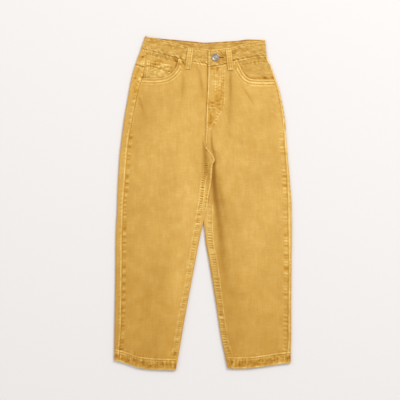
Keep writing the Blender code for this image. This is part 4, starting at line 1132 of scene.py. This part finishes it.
def hip_facing(leg):
    """The cloth that shows inside a pocket mouth, level with the hip where it meets the seams round it."""
    far = leg.mouth[-1][0] + leg.toward * FACING_PAST_MOUTH
    share = np.linspace(0, 1, 84)[None]
    down = np.linspace(0, 1, 70)[:, None]
    top_x = mix(leg.at("outseam", FACING_ROW_Y), far, share)
    y = mix(leg.band.read("bottom", top_x) - GAP, FACING_BOTTOM, down)
    x = mix(leg.past("outseam", y), far, share)
    past_mouth = near_path(MOUTH_SEAMS[leg.side_name][0].path, x, y)[0] * -leg.toward
    from_top = leg.band.read("bottom", x) - y
    from_side = np.abs(x - leg.at("outseam", y))
    rise = np.maximum(1 - ease(from_top / 9), 1 - ease(from_side / 7)) * ease((-past_mouth - 1.5) / 8)
    z = mix(facing_height(leg, x, y), leg.face(x, y) - GAP, rise)
    return facing_up(x, y, z)


def coin_pocket():
    high_left, high_right, low_left, low_right = (np.array(corner) for corner in COIN_CORNERS)
    share = np.linspace(0, 1, 46)[None, :, None]
    down = np.linspace(0, 1, 46)[:, None, None]
    place = mix(mix(high_left, high_right, share), mix(low_left, low_right, share), down)
    x, y = place[..., 0], place[..., 1]
    return facing_up(x, y, facing_height(RIGHT, x, y) + LAYER_GAP + FACING_WALL)


# ---------------------------------------------------------------- waistband and loops


BAND_SHARES = np.linspace(0, 1, 27)


def band_column(top, bottom, z, up):
    x = mix(top[0], bottom[0], BAND_SHARES)
    y = mix(top[1], bottom[1], BAND_SHARES)
    return np.column_stack([x, y, z + 0 * x, up + 0 * x])


def band_fold(edges, table, toward, t):
    out, up = half_round(t)
    top_x, bottom_x = (edge + toward * BAND_REACH * (1 - out) for edge in edges)
    at = table.rows[0] if toward > 0 else table.rows[-1]
    return band_column((top_x, at[1]), (bottom_x, at[2]), BAND_FACE * up, up)


def band_stretch(table, start, end, count, on_surface=False):
    columns = []
    for t in np.linspace(0, 1, count + 1):
        top_x, bottom_x = mix(start[0], end[0], t), mix(start[1], end[1], t)
        z = 0.0 if on_surface else table.read("z", top_x)
        top = (top_x, table.read("top", top_x))
        bottom = (bottom_x, table.read("bottom", bottom_x))
        columns.append(band_column(top, bottom, z, 0.0 if on_surface else 1.0))
    return columns


def waistband():
    right = tuple(x + BAND_REACH for x in BAND_RIGHT_FOLD)
    left = tuple(x - BAND_REACH for x in BAND_LEFT_FOLD)
    end_x, overlap_x = BAND_RIGHT.places[-1], BAND_LEFT.places[0]
    folds = np.linspace(0, 1, 13)[1:]
    columns = band_stretch(BAND_RIGHT, (end_x, end_x), right, 110)
    columns += [band_fold(BAND_RIGHT_FOLD, BAND_RIGHT, 1, t) for t in folds]
    columns += band_stretch(BAND_BACK, right, left, 90, on_surface=True)[1:]
    columns += [band_fold(BAND_LEFT_FOLD, BAND_LEFT, -1, 1 - t) for t in folds]
    columns += band_stretch(BAND_LEFT, left, (overlap_x, overlap_x), 84)[1:]
    return np.stack(columns, axis=1)


def band_height(leg, x, y):
    return leg.band.read("z", x)


def belt_loop(leg, ends):
    top, bottom = ends
    t = np.linspace(0, 1, 44)[:, None]
    share = np.linspace(-0.5, 0.5, 18)[None]
    x = mix(top[0], bottom[0], t) + share * LOOP_WIDTH
    y = mix(top[1], bottom[1], t) + 0 * share
    over_band = band_height(leg, x, y) + LOOP_HUMP * np.sin(math.pi * np.minimum(t / LOOP_ARCH, 1.0))
    on_front = np.maximum(front_height(leg, x, y), over_band - LOOP_STEP)
    under = mix(over_band, on_front, ease((t - LOOP_FOOT) / (1 - LOOP_FOOT)))
    edge = ease((0.5 - np.abs(share)) / LOOP_EDGE)
    return facing_up(x, y, under + LAYER_GAP + LOOP_WALL - LOOP_EDGE_DROP * (1 - edge))


# ---------------------------------------------------------------- materials


def fill(node, **inputs):
    """Gives a node's inputs, named or numbered as in i0, their values or links to other nodes' sockets."""
    for name, value in inputs.items():
        socket = node.inputs[int(name[1:]) if name[1:].isdigit() else name.replace("_", " ")]
        if isinstance(value, bpy.types.NodeSocket):
            socket.id_data.links.new(value, socket)
        else:
            socket.default_value = value


def add(tree, kind, settings=(), output=0, **inputs):
    """The output of a new node with its settings and inputs."""
    made = tree.nodes.new(kind)
    for name, value in dict(settings).items():
        setattr(made, name, value)
    fill(made, **inputs)
    return made.outputs[output]


def blended(tree, low, high, factor):
    return add(tree, "ShaderNodeMix", {"data_type": "RGBA"}, 2, i0=factor, i6=low, i7=high)


def ranged(tree, value, low, high, to_low=0.0, to_high=1.0):
    span = {"From_Min": low, "From_Max": high, "To_Min": to_low, "To_Max": to_high}
    return add(tree, "ShaderNodeMapRange", Value=value, **span)


def added(tree, first, second):
    return add(tree, "ShaderNodeMath", {"operation": "ADD"}, i0=first, i1=second)


def speckle(tree, place, scale, detail, roughness=0.5):
    return add(tree, "ShaderNodeTexNoise", Vector=place, Scale=scale, Detail=detail, Roughness=roughness)


def bumped(tree, height, strength, distance):
    return add(tree, "ShaderNodeBump", Strength=strength, Distance=distance, Height=height)


def new_material(name):
    made = bpy.data.materials.new(name)
    made.use_nodes = True
    return made, made.node_tree, made.node_tree.nodes["Principled BSDF"]


def denim_material():
    """Garment-dyed twill with warp streaks and slubs: deeper dye and painted shade in the hollows, pale on the
    raised edges, and darkened by its gain with painted shade in the creases and folds.
    """
    made, tree, shader = new_material("ochre_denim")
    cloth_map = add(tree, "ShaderNodeUVMap", {"uv_map": "cloth"})
    tone = add(tree, "ShaderNodeAttribute", {"attribute_name": "shade"}, "Fac")
    weave = {}
    for name, (across, along, detail, change) in WEAVE.items():
        stretched = add(tree, "ShaderNodeMapping", Vector=cloth_map, Scale=(across, along, 1.0))
        weave[name] = speckle(tree, stretched, 1.0, detail, 0.6)
        tone = added(tree, tone, ranged(tree, weave[name], 0.25, 0.75, -change, change))
    colour = DENIM_COLOUR
    for other, start, end in ((DENIM_PALE, 0.0, 1.0), (DENIM_RICH, 0.0, -0.45), (DENIM_DEEP, -0.45, -1.6)):
        colour = blended(tree, colour, other, ranged(tree, tone, start, end))
    # gain: the cloth's lightness, which darkens it with painted shade in creases and folds
    gain = add(tree, "ShaderNodeAttribute", {"attribute_name": "gain"}, "Vector")
    turned = add(tree, "ShaderNodeMapping", Vector=cloth_map, Rotation=(0, 0, math.radians(63)))
    twill = {"bands_direction": "X"}
    rise = add(tree, "ShaderNodeTexWave", twill, 1, Vector=turned, Scale=300.0, Distortion=1.4, Detail=1.0)
    rise = added(tree, rise, ranged(tree, weave["grain"], 0.0, 1.0, -0.5, 0.5))
    rise = added(tree, rise, ranged(tree, weave["warp"], 0.0, 1.0, -0.6, 0.6))
    fill(
        shader,
        Base_Color=add(tree, "ShaderNodeVectorMath", {"operation": "MULTIPLY"}, i0=colour, i1=gain),
        Normal=bumped(tree, rise, 0.35, 0.0004),
        Roughness=ranged(tree, weave["grain"], 0.2, 0.8, 0.82, 0.96),
        Sheen_Weight=0.12,
        Sheen_Roughness=0.5,
        Specular_IOR_Level=0.2,
    )
    return made


def thread_material():
    made, tree, shader = new_material("ochre_thread")
    place = add(tree, "ShaderNodeTexCoord", output="Object")
    worn = ranged(tree, speckle(tree, place, 160.0, 2.0), 0.35, 0.7)
    ply = bumped(tree, speckle(tree, place, 2600.0, 1.0), 0.3, 0.0002)
    colour = blended(tree, THREAD_COLOUR, THREAD_DEEP, worn)
    fill(shader, Base_Color=colour, Normal=ply, Roughness=0.7, Sheen_Weight=0.1)
    return made


def pewter_material():
    """Brushed grey metal, dull in patches and finely scratched."""
    made, tree, shader = new_material("pewter")
    place = add(tree, "ShaderNodeTexCoord", output="Object")
    dull = ranged(tree, speckle(tree, place, 420.0, 4.0), 0.4, 0.7)
    scratch = speckle(tree, place, 2200.0, 2.0)
    fill(
        shader,
        Base_Color=blended(tree, PEWTER_COLOUR, PEWTER_DARK, dull),
        Metallic=1.0,
        Roughness=ranged(tree, scratch, 0.3, 0.7, 0.28, 0.45),
        Normal=bumped(tree, scratch, 0.15, 0.0001),
    )
    return made


DENIM = denim_material()
THREAD = thread_material()
PEWTER = pewter_material()


# ---------------------------------------------------------------- pieces


SHARP_ANGLE = math.radians(48)


def link(name, mesh, material):
    made = bpy.data.objects.new(name, mesh)
    bpy.context.scene.collection.objects.link(made)
    mesh.materials.append(material)
    return made


def plain_copy(obj):
    """The object's evaluated mesh in place of its own, with its modifiers removed."""
    bpy.context.view_layer.update()
    graph = bpy.context.evaluated_depsgraph_get()
    final = obj.evaluated_get(graph)
    obj.data = bpy.data.meshes.new_from_object(final, preserve_all_data_layers=True, depsgraph=graph)
    obj.modifiers.clear()
    obj.data.set_sharp_from_angle(angle=SHARP_ANGLE)


def cloth_mesh(name, grid, wall, seams, under_seams=None, tone=0.0, streaked=0.0):
    """A wall of cloth inside the grid's outer points, shaped by its seams, with a shade, a gain and a cloth map.
    The gain is the cloth's lightness, with painted shade in its creases and folds.
    """
    x, y, z, up = (grid[..., k] for k in range(4))
    height, shade, lightness = relief(x, y, seams)
    if under_seams is not None:
        shade = np.where(up > 0.5, shade, relief(x, y, under_seams)[1])
        lightness = np.where(up > 0.5, lightness, lightness + UNDERSIDE_TONE)
    if streaked:
        uneven = streaks_across(x, y, 71)
        shade = shade + streaked * (0.7 * uneven + 0.36)
        lightness = lightness + 0.4 * streaked * uneven
        height = height + 0.35 * streaked * uneven
    # the gain carries the lightness, with the painted shade of the creases and folds
    gain = np.exp(np.maximum(lightness + tone, DARKEST_TONE)[..., None] * TONE_POWERS)
    places = np.stack([x, y, z + height * up], axis=2)
    points = places.reshape(-1, 3)
    rows, columns = x.shape
    corner = (np.arange(rows - 1)[:, None] * columns + np.arange(columns - 1)[None]).ravel()
    faces = np.column_stack([corner, corner + columns, corner + columns + 1, corner + 1])
    a, b, c = (points[k] for k in faces[0, :3])
    if np.cross(b - a, c - a)[2] < 0:
        faces = faces[:, ::-1]
    mesh = bpy.data.meshes.new(name)
    mesh.from_pydata((points * MM).tolist(), [], faces.tolist())
    looks = (("shade", "FLOAT", "value", shade), ("gain", "FLOAT_VECTOR", "vector", gain))
    for label, kind, field, values in looks:
        mesh.attributes.new(label, kind, "POINT").data.foreach_set(field, values.ravel().astype(np.float32))
    step = np.linalg.norm(np.diff(places, axis=1), axis=2)
    across = np.concatenate([np.zeros((rows, 1)), np.cumsum(step, axis=1)], axis=1) + x[:, :1]
    flat = np.column_stack([across.ravel(), y.ravel()]) * MM
    loops = np.empty(len(mesh.loops), np.int32)
    mesh.loops.foreach_get("vertex_index", loops)
    mesh.uv_layers.new(name="cloth").data.foreach_set("uv", flat[loops].ravel().astype(np.float32))
    made = link(name, mesh, DENIM)
    solid = made.modifiers.new("Wall", "SOLIDIFY")
    solid.offset = -1
    solid.use_even_offset = True
    solid.thickness = wall * MM
    mesh.shade_smooth()
    return made


def place_piece(made, node):
    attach(made, "root")
    if node:
        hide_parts(node)


def keep_above_floor(obj):
    places = np.empty(len(obj.data.vertices) * 3, np.float32)
    obj.data.vertices.foreach_get("co", places)
    places[2::3] = np.maximum(places[2::3], 0.0)
    obj.data.vertices.foreach_set("co", places)


def longest(grid, axis):
    """The longest line of a grid along an axis, in metres."""
    return np.linalg.norm(np.diff(grid[..., :3], axis=axis), axis=2).sum(axis=axis).max() * MM


def cloth_piece(node, grid, wall, seams, rests_on, thick_rows=0, tone=0.0, streaked=0.0):
    """One cut piece of cloth, on the form of its solid. thick_rows is how many of its last rows are a hem."""
    made = cloth_mesh(node + "_cloth", grid, wall, seams, None, tone, streaked)
    if thick_rows:
        solid = made.modifiers["Wall"]
        rows, columns = grid.shape[:2]
        group = made.vertex_groups.new(name="Thick")
        group.add(list(range((rows - thick_rows) * columns, rows * columns)), 1.0, "REPLACE")
        solid.thickness = HEM_WALL * MM
        solid.vertex_group = group.name
        solid.thickness_vertex_group = wall / HEM_WALL
    across, along = longest(grid, 1), longest(grid, 0)
    plain_copy(made)
    keep_above_floor(made)
    place_piece(made, node)


def lapped(x, y):
    """1 where the right leg lies on the left one and presses it smooth."""
    return ease((RIGHT.at("inner", y) + 4.5 - x) / 4) * ease((135 - y) / 4) * ease((y + 44) / 12)


FACING_STITCH_ROWS = ((0, 1.1, -0.35, -0.75), (2.8, 1.2, 0.2, 0.35), (-2.6, 1.2, 0.1, 0.15))


def finished_panels():
    sides = (
        (RIGHT, RIGHT_SEAMS, WRAP_SEAMS + LAP_SEAMS, UNDER_FLY_SEAMS, RIGHT_CREASES),
        (LEFT, LEFT_SEAMS, [], FLY_SEAMS, LEFT_CREASES),
    )
    for leg, seams, back_seams, front_seams, creases in sides:
        name = leg.side_name
        on_back = ["back_" + name + "_cloth"]
        back, front = back_panel(leg), front_panel(leg)
        if leg is LEFT:
            for grid in (back, front):
                grid[..., 3] *= 1 - lapped(grid[..., 0], grid[..., 1])
        back_seams = back_seams + BAND_SEAMS
        front_seams = front_seams + BAND_SEAMS + MOUTH_SEAMS[name]
        cloth_piece("back_" + name, back, WALL, seams + back_seams + creases, ["floor"], TURNED_UP_ROWS)
        cloth_piece("yoke_" + name, yoke(leg), WALL, seams[:1] + back_seams, ["floor"], streaked=YOKE_STREAKS)
        cloth_piece("front_" + name, front, WALL, seams + front_seams + creases, on_back, TURNED_UP_ROWS)
        start, end = leg.at("outseam", 345.0), leg.mouth[-1][0]
        line = band_line(leg.band, "bottom", start, end, -FACING_STITCHES_BELOW[name])
        stitches = Seam(line, FACING_STITCH_ROWS, 61, STITCH_PUCKERS, ((2, 6, 0.3),), 1.0)
        facing_seams = seams[:1] + BAND_SEAMS + [stitches] + MOUTH_SHADOWS[name]
        look = {"tone": FACING_TONE[name], "streaked": FACING_STREAKS}
        cloth_piece("hip_facing_" + name, hip_facing(leg), FACING_WALL, facing_seams, on_back, **look)


COIN_TOP_ROWS = ((-1, 1.1, 0.3, 0.5), (-6, 4, 0.1, -0.3))
COIN_HEM_ROWS = ((0, 1.3, -0.35, -1), (-2.8, 1.2, 0.25, 0.45), (3, 1.3, 0.15, 0.35))
COIN_SIDE_ROWS = ((1, 1.1, 0.3, 0.6), (3.4, 0.9, -0.2, -0.5), (5.8, 1.1, 0.2, 0.5), (8.2, 0.9, -0.2, -0.3))
COIN_HEM_STITCHES = smooth_path(
    on_sheet((146.5, 66), (151.3, 66.2), (157.7, 68.2), (162.3, 69.8), (170.5, 72.2)),
)


def coin_seams():
    high_left, high_right, low_left, _ = (np.array(corner) for corner in COIN_CORNERS)
    top = smooth_path((high_left, mix(high_left, high_right, 0.5), high_right))
    side = smooth_path((high_left, mix(high_left, low_left, 0.5), low_left))
    return [
        Seam(top, COIN_TOP_ROWS, 62, ((-6, 5, 7, 0.25, 0.4, 0.3),), ((-6, 7, 0.45),), 1.0),
        Seam(COIN_HEM_STITCHES, COIN_HEM_ROWS, 65, ((0, 4, 8, 0.25, 0.4, 0.3),), fade=1.0),
        Seam(side, COIN_SIDE_ROWS, 63, ((4, 3, 6, 0.15, 0.3, 0),), fade=1.0),
    ]


LOOP_ROWS = (
    (-5.2, 1.1, 0.1, 0.65), (-2.8, 1, -0.2, -0.25), (5.2, 1.1, 0.1, 0.65), (2.8, 1, -0.2, -0.25),
    (0, 1.3, 0.1, 0.45),
)


def loop_seams(ends):
    return [Seam(smooth_path(ends), LOOP_ROWS, 64, ((0, 5, 8, 0.15, 0.3, 0.1),), ((0, 6, 0.25),), 0.1)]


def slit_cutter():
    """The block that cuts the buttonhole, from beside the button's shank."""
    shape = bmesh.new()
    size = (SLIT_END_X - SLIT_START_X, SLIT_WIDTH, SLIT_HEIGHT)
    middle = ((SLIT_START_X + SLIT_END_X) / 2, BUTTON_Y, OVERLAP_FACE + 1 - SLIT_HEIGHT / 2)
    bmesh.ops.create_cube(shape, size=1.0)
    bmesh.ops.scale(shape, vec=[value * MM for value in size], verts=shape.verts)
    bmesh.ops.translate(shape, vec=[value * MM for value in middle], verts=shape.verts)
    mesh = bpy.data.meshes.new("slit_cutter")
    shape.to_mesh(mesh)
    shape.free()
    return link("slit_cutter", mesh, DENIM)


def trim_pieces():
    seams = coin_seams() + RIGHT_MOUTH_SHADOW
    look = {"tone": COIN_TONE, "streaked": COIN_STREAKS}
    cloth_piece("coin_pocket", coin_pocket(), FACING_WALL, seams, ["hip_facing_right_cloth"], **look)
    grid = waistband()
    seams = BAND_SEAMS + BAND_TOPS + BAND_END
    made = cloth_mesh("waistband_cloth", grid, BAND_WALL, seams, BAND_BACK_TOP, BAND_TONE, BAND_STREAKS)
    cutter = slit_cutter()
    cut = made.modifiers.new("Buttonhole", "BOOLEAN")
    cut.operation = "DIFFERENCE"
    cut.object = cutter
    across, depth = longest(grid, 1), BAND_DEPTH * MM
    plain_copy(made)
    bpy.data.objects.remove(cutter, do_unlink=True)
    place_piece(made, "waistband")
    for leg, ends in ((RIGHT, RIGHT_LOOP), (LEFT, LEFT_LOOP)):
        node = "belt_loop_" + leg.side_name
        cloth_piece(node, belt_loop(leg, ends), LOOP_WALL, loop_seams(ends), ["waistband_cloth"])


CAP_HEIGHT = 3.1
CAP_BASE = 7.8
SHANK = 2.7
SHANK_CLEARANCE = 0.4
# Radius of the button's cap, and how far its face there lies below the top of the rim
CAP = (
    (0, -0.05), (0.9, 0), (1.5, 0.15), (1.9, 0.6), (2.3, 0.85), (3, 0.9), (3.5, 0.75), (3.9, 0.75), (4.4, 0.95),
    (5.4, 0.9), (5.9, 0.55), (6.3, 0.15), (6.8, 0), (7.4, 0.02), (7.9, 0.2), (8.3, 0.6), (8.5, 1.1), (8.5, 1.5),
    (8.3, 1.9),
)


def turned_mesh(name, profile, steps):
    """Radii and heights turned round the button's middle. The first and the last lie on its axis."""
    angles = 2 * math.pi * np.arange(steps) / steps
    pairs = [(k, (k + 1) % steps) for k in range(steps)]
    points = [(BUTTON_X, BUTTON_Y, profile[0][1]), (BUTTON_X, BUTTON_Y, profile[-1][1])]
    faces = []
    for radius, z in profile[1:-1]:
        first = len(points)
        points += [(BUTTON_X + radius * math.cos(turn), BUTTON_Y + radius * math.sin(turn), z) for turn in angles]
        if first == 2:
            faces += [(0, first + a, first + b) for a, b in pairs]
        else:
            faces += [(first - steps + a, first + a, first + b, first - steps + b) for a, b in pairs]
    faces += [(1, first + b, first + a) for a, b in pairs]
    mesh = bpy.data.meshes.new(name)
    mesh.from_pydata((np.array(points) * MM).tolist(), [], faces)
    return mesh


def fly_button():
    """A turned cap with a rolled rim, a beaded ring and a raised centre, on its shank."""
    top = OVERLAP_FACE + CAP_HEIGHT
    shoulder, foot = OVERLAP_FACE + SHANK_CLEARANCE, UNDERLAP_FACE + SHANK_CLEARANCE
    profile = [(radius, top - below) for radius, below in CAP]
    profile += [(CAP_BASE, shoulder), (SHANK, shoulder), (SHANK, foot), (0.0, foot)]
    mesh = turned_mesh("fly_button", profile, 64)
    mesh.shade_smooth()
    place_piece(link("fly_button", mesh, PEWTER), "button")


# ---------------------------------------------------------------- stitching


STITCH_SOCKETS = {
    "Geometry": "Geometry", "Spacing": "Float", "Length": "Float", "Radius": "Float", "Turn": "Float",
    "Seed": "Int", "Thread": "Material",
}
STITCH_LIFT = 0.12
WOBBLE = 0.09
# Spacing, length and radius of the stitches
TOPSTITCH = (3.3, 2.7, 0.32)
BAR_TACK = (0.75, 2.0, 0.30)
INSEAM_STITCHES = ((-1.6, 26), (5.2, 118))  # distance past the inseam, and the height where they end
MOUTH_STITCHES = (2.7, 10.6)
BAND_STITCH_START_X = -126.0
BAND_STITCHES = (("top", 138.0, -5.8), ("bottom", 140.0, 3.4))  # edge, last X, distance above the edge


def stitch_tree():
    """Stitches laid along the edges of a mesh: each a small thread, turned from the line by an angle."""
    tree = bpy.data.node_groups.new("stitch_run", "GeometryNodeTree")
    for name, kind in STITCH_SOCKETS.items():
        tree.interface.new_socket(name, in_out="INPUT", socket_type="NodeSocket" + kind)
    tree.interface.new_socket("Geometry", in_out="OUTPUT", socket_type="NodeSocketGeometry")
    given = tree.nodes.new("NodeGroupInput").outputs
    line = add(tree, "GeometryNodeMeshToCurve", Mesh=given["Geometry"])
    line = add(tree, "GeometryNodeResampleCurve", {"mode": "LENGTH"}, Curve=line, Length=given["Spacing"])
    thread = add(tree, "GeometryNodeMeshUVSphere", Segments=6, Rings=5, Radius=1.0)
    half = add(tree, "ShaderNodeMath", {"operation": "MULTIPLY"}, i0=given["Length"], i1=0.5)
    size = add(tree, "ShaderNodeCombineXYZ", X=half, Y=given["Radius"], Z=given["Radius"])
    thread = add(tree, "GeometryNodeTransform", Geometry=thread, Scale=size)
    tangent = add(tree, "GeometryNodeInputTangent")
    facing = add(tree, "FunctionNodeAlignRotationToVector", {"axis": "X"}, Vector=tangent)
    number = {"data_type": "FLOAT"}
    wobble = add(tree, "FunctionNodeRandomValue", number, 1, Seed=given["Seed"], i2=-WOBBLE, i3=WOBBLE)
    spin = add(tree, "ShaderNodeCombineXYZ", Z=added(tree, given["Turn"], wobble))
    turn = add(tree, "FunctionNodeEulerToRotation", Euler=spin)
    facing = add(tree, "FunctionNodeRotateRotation", {"rotation_space": "LOCAL"}, Rotation=facing, Rotate_By=turn)
    laid = add(tree, "GeometryNodeInstanceOnPoints", Points=line, Instance=thread, Rotation=facing)
    laid = add(tree, "GeometryNodeRealizeInstances", Geometry=laid)
    laid = add(tree, "GeometryNodeSetMaterial", Geometry=laid, Material=given["Thread"])
    fill(tree.nodes.new("NodeGroupOutput"), Geometry=laid)
    return tree


STITCHES = stitch_tree()


def sewn(name, lines, spacing, length, radius, turn=0.0, seed=1):
    """Stitches along lines of points in millimetres, as one plain mesh."""
    points, edges = [], []
    for line in lines:
        first = len(points)
        points += (np.asarray(line) * MM).tolist()
        edges += [(k, k + 1) for k in range(first, len(points) - 1)]
    mesh = bpy.data.meshes.new(name)
    mesh.from_pydata(points, edges, [])
    made = link(name, mesh, THREAD)
    run = made.modifiers.new("Stitches", "NODES")
    run.node_group = STITCHES
    sizes = {"Spacing": spacing * MM, "Length": length * MM, "Radius": radius * MM}
    values = {**sizes, "Turn": turn, "Seed": seed, "Thread": THREAD}
    for item in STITCHES.interface.items_tree:
        if item.in_out == "INPUT" and item.name in values:
            run[item.identifier] = values[item.name]
    plain_copy(made)
    made.data.shade_smooth()
    place_piece(made, None)


def laid_on(leg, path, seams, height=front_height):
    """The path laid on a leg's front: height gives its level, and seams its relief."""
    x, y = path[:, 0], path[:, 1]
    return np.column_stack([x, y, height(leg, x, y) + relief(x, y, seams)[0] + STITCH_LIFT])


def leg_stitching(leg, seams):
    """Topstitching beside a leg's inseam and outseam, round its hem and along its pocket mouth."""
    inseam = LEG_SEAMS[leg.side_name][2].path
    for shift, highest in INSEAM_STITCHES:
        path = resampled(shifted(inseam, shift * leg.toward))
        yield laid_on(leg, path[path[:, 1] < highest], seams)
    yield laid_on(leg, resampled(leg_line(leg, "outseam", 283, 200, 2.0)), seams)
    yield laid_on(leg, resampled(hem_line(leg, HEM_DEPTH - 1.0, 3.0)), seams) + (0, 0, HEM_RISE)
    mouth = resampled(smooth_path(leg.mouth))
    for offset in MOUTH_STITCHES:
        path = resampled(shifted(mouth, -leg.toward * offset))
        x, y = path[:, 0], path[:, 1]
        kept = (y < leg.band.read("bottom", x) - 1.5) & ((leg.at("outseam", y) - x) * leg.toward < -1)
        yield laid_on(leg, path[kept], seams)


def band_stitching(leg):
    start, end = leg.band.places[0] + 2.4, leg.band.places[-1] - 2.4
    if leg is RIGHT:
        start = BAND_STITCH_START_X
    for edge, last, above in BAND_STITCHES:
        path = resampled(band_line(leg.band, edge, start, min(end, last), above))
        if leg is RIGHT:
            path = path[path[:, 0] < 9.0]
        yield laid_on(leg, path, BAND_SEAMS + BAND_TOPS, band_height)


def topstitching():
    lines = []
    for leg, seams in ((RIGHT, UNDER_FLY_SEAMS + LAP_SEAMS), (LEFT, FLY_SEAMS)):
        name = leg.side_name
        lines += leg_stitching(leg, LEG_SEAMS[name] + BAND_SEAMS + MOUTH_SEAMS[name] + seams)
        lines += band_stitching(leg)
    fly_seams = LEFT_SEAMS + FLY_SEAMS
    for path in (J_PATH, shifted(J_PATH, -5.0), *FLY_COLUMNS):
        lines.append(laid_on(LEFT, resampled(path), fly_seams + BAND_SEAMS))
    y = np.arange(170.0, 136.0, -2)
    lines.append(laid_on(LEFT, np.column_stack([fly_edge(y) + 1.8, y]), fly_seams))
    back_top = resampled(band_line(BAND_BACK, "top", -118, 128, above=-4.5))
    lines.append(np.column_stack([back_top, np.full(len(back_top), BAND_WALL + 0.15)]))
    sewn("topstitching", lines, *TOPSTITCH)


def bar_tacks():
    """Close stitches across the fly's foot and the ends of the loops, and along the buttonhole."""
    tack = resampled(smooth_path(((12.5, 217.6), (28.0, 218.4))), 0.8)
    tacks = [laid_on(LEFT, tack, LEFT_SEAMS + FLY_SEAMS)]
    for leg, ends in ((RIGHT, RIGHT_LOOP), (LEFT, LEFT_LOOP)):
        grid = belt_loop(leg, ends)
        for share in (0.06, 0.93):
            tacks.append(grid[int(share * (len(grid) - 1)), 2:-2, :3] + (0, 0, 0.2))
    for y in (BUTTON_Y + 1.5, BUTTON_Y - 1.5):
        x = np.arange(36.6, 48.4, 0.7)
        tacks.append(np.column_stack([x, np.full(len(x), y), np.full(len(x), OVERLAP_FACE + 0.25)]))
    sewn("bar_tacks", tacks, *BAR_TACK, turn=math.pi / 2, seed=2)


# ---------------------------------------------------------------- stage, light and camera


def area_light(name, place, size, power):
    data = bpy.data.lights.new(name, "AREA")
    data.shape = "SQUARE"
    data.size = size
    data.energy = power
    made = bpy.data.objects.new(name, data)
    made.location = place
    made.rotation_euler = (-Vector(place)).to_track_quat("-Z", "Y").to_euler()
    bpy.context.scene.collection.objects.link(made)


def stage():
    scene = bpy.context.scene
    paper, _, shader = new_material("paper_floor")
    fill(shader, Base_Color=FLOOR_COLOUR, Roughness=0.9, Specular_IOR_Level=0.1)
    mesh = bpy.data.meshes.new("floor")
    corners = ((-1, -1), (1, -1), (1, 1), (-1, 1))
    mesh.from_pydata([(x * FLOOR_HALF, y * FLOOR_HALF, 0) for x, y in corners], [], [(0, 1, 2, 3)])
    floor = link("floor", mesh, paper)
    floor.location.z = FLOOR_Z

    scene.world = bpy.data.worlds.new("studio")
    scene.world.use_nodes = True
    fill(scene.world.node_tree.nodes["Background"], Color=SKY_COLOUR, Strength=SKY_STRENGTH)
    area_light("key", *KEY_LIGHT)
    area_light("fill", *FILL_LIGHT)

    scene.view_settings.view_transform = "Standard"
    lens = bpy.data.cameras.new("camera")
    lens.sensor_width = SENSOR_WIDTH
    lens.lens = SENSOR_WIDTH * CAMERA_HEIGHT / FRAME_WIDTH
    lens.clip_end = 50.0
    camera = bpy.data.objects.new("camera", lens)
    camera.location = (*FRAME_CENTRE, CAMERA_HEIGHT)
    scene.collection.objects.link(camera)
    scene.camera = camera


stage()
finished_panels()
trim_pieces()
fly_button()
topstitching()
bar_tacks()
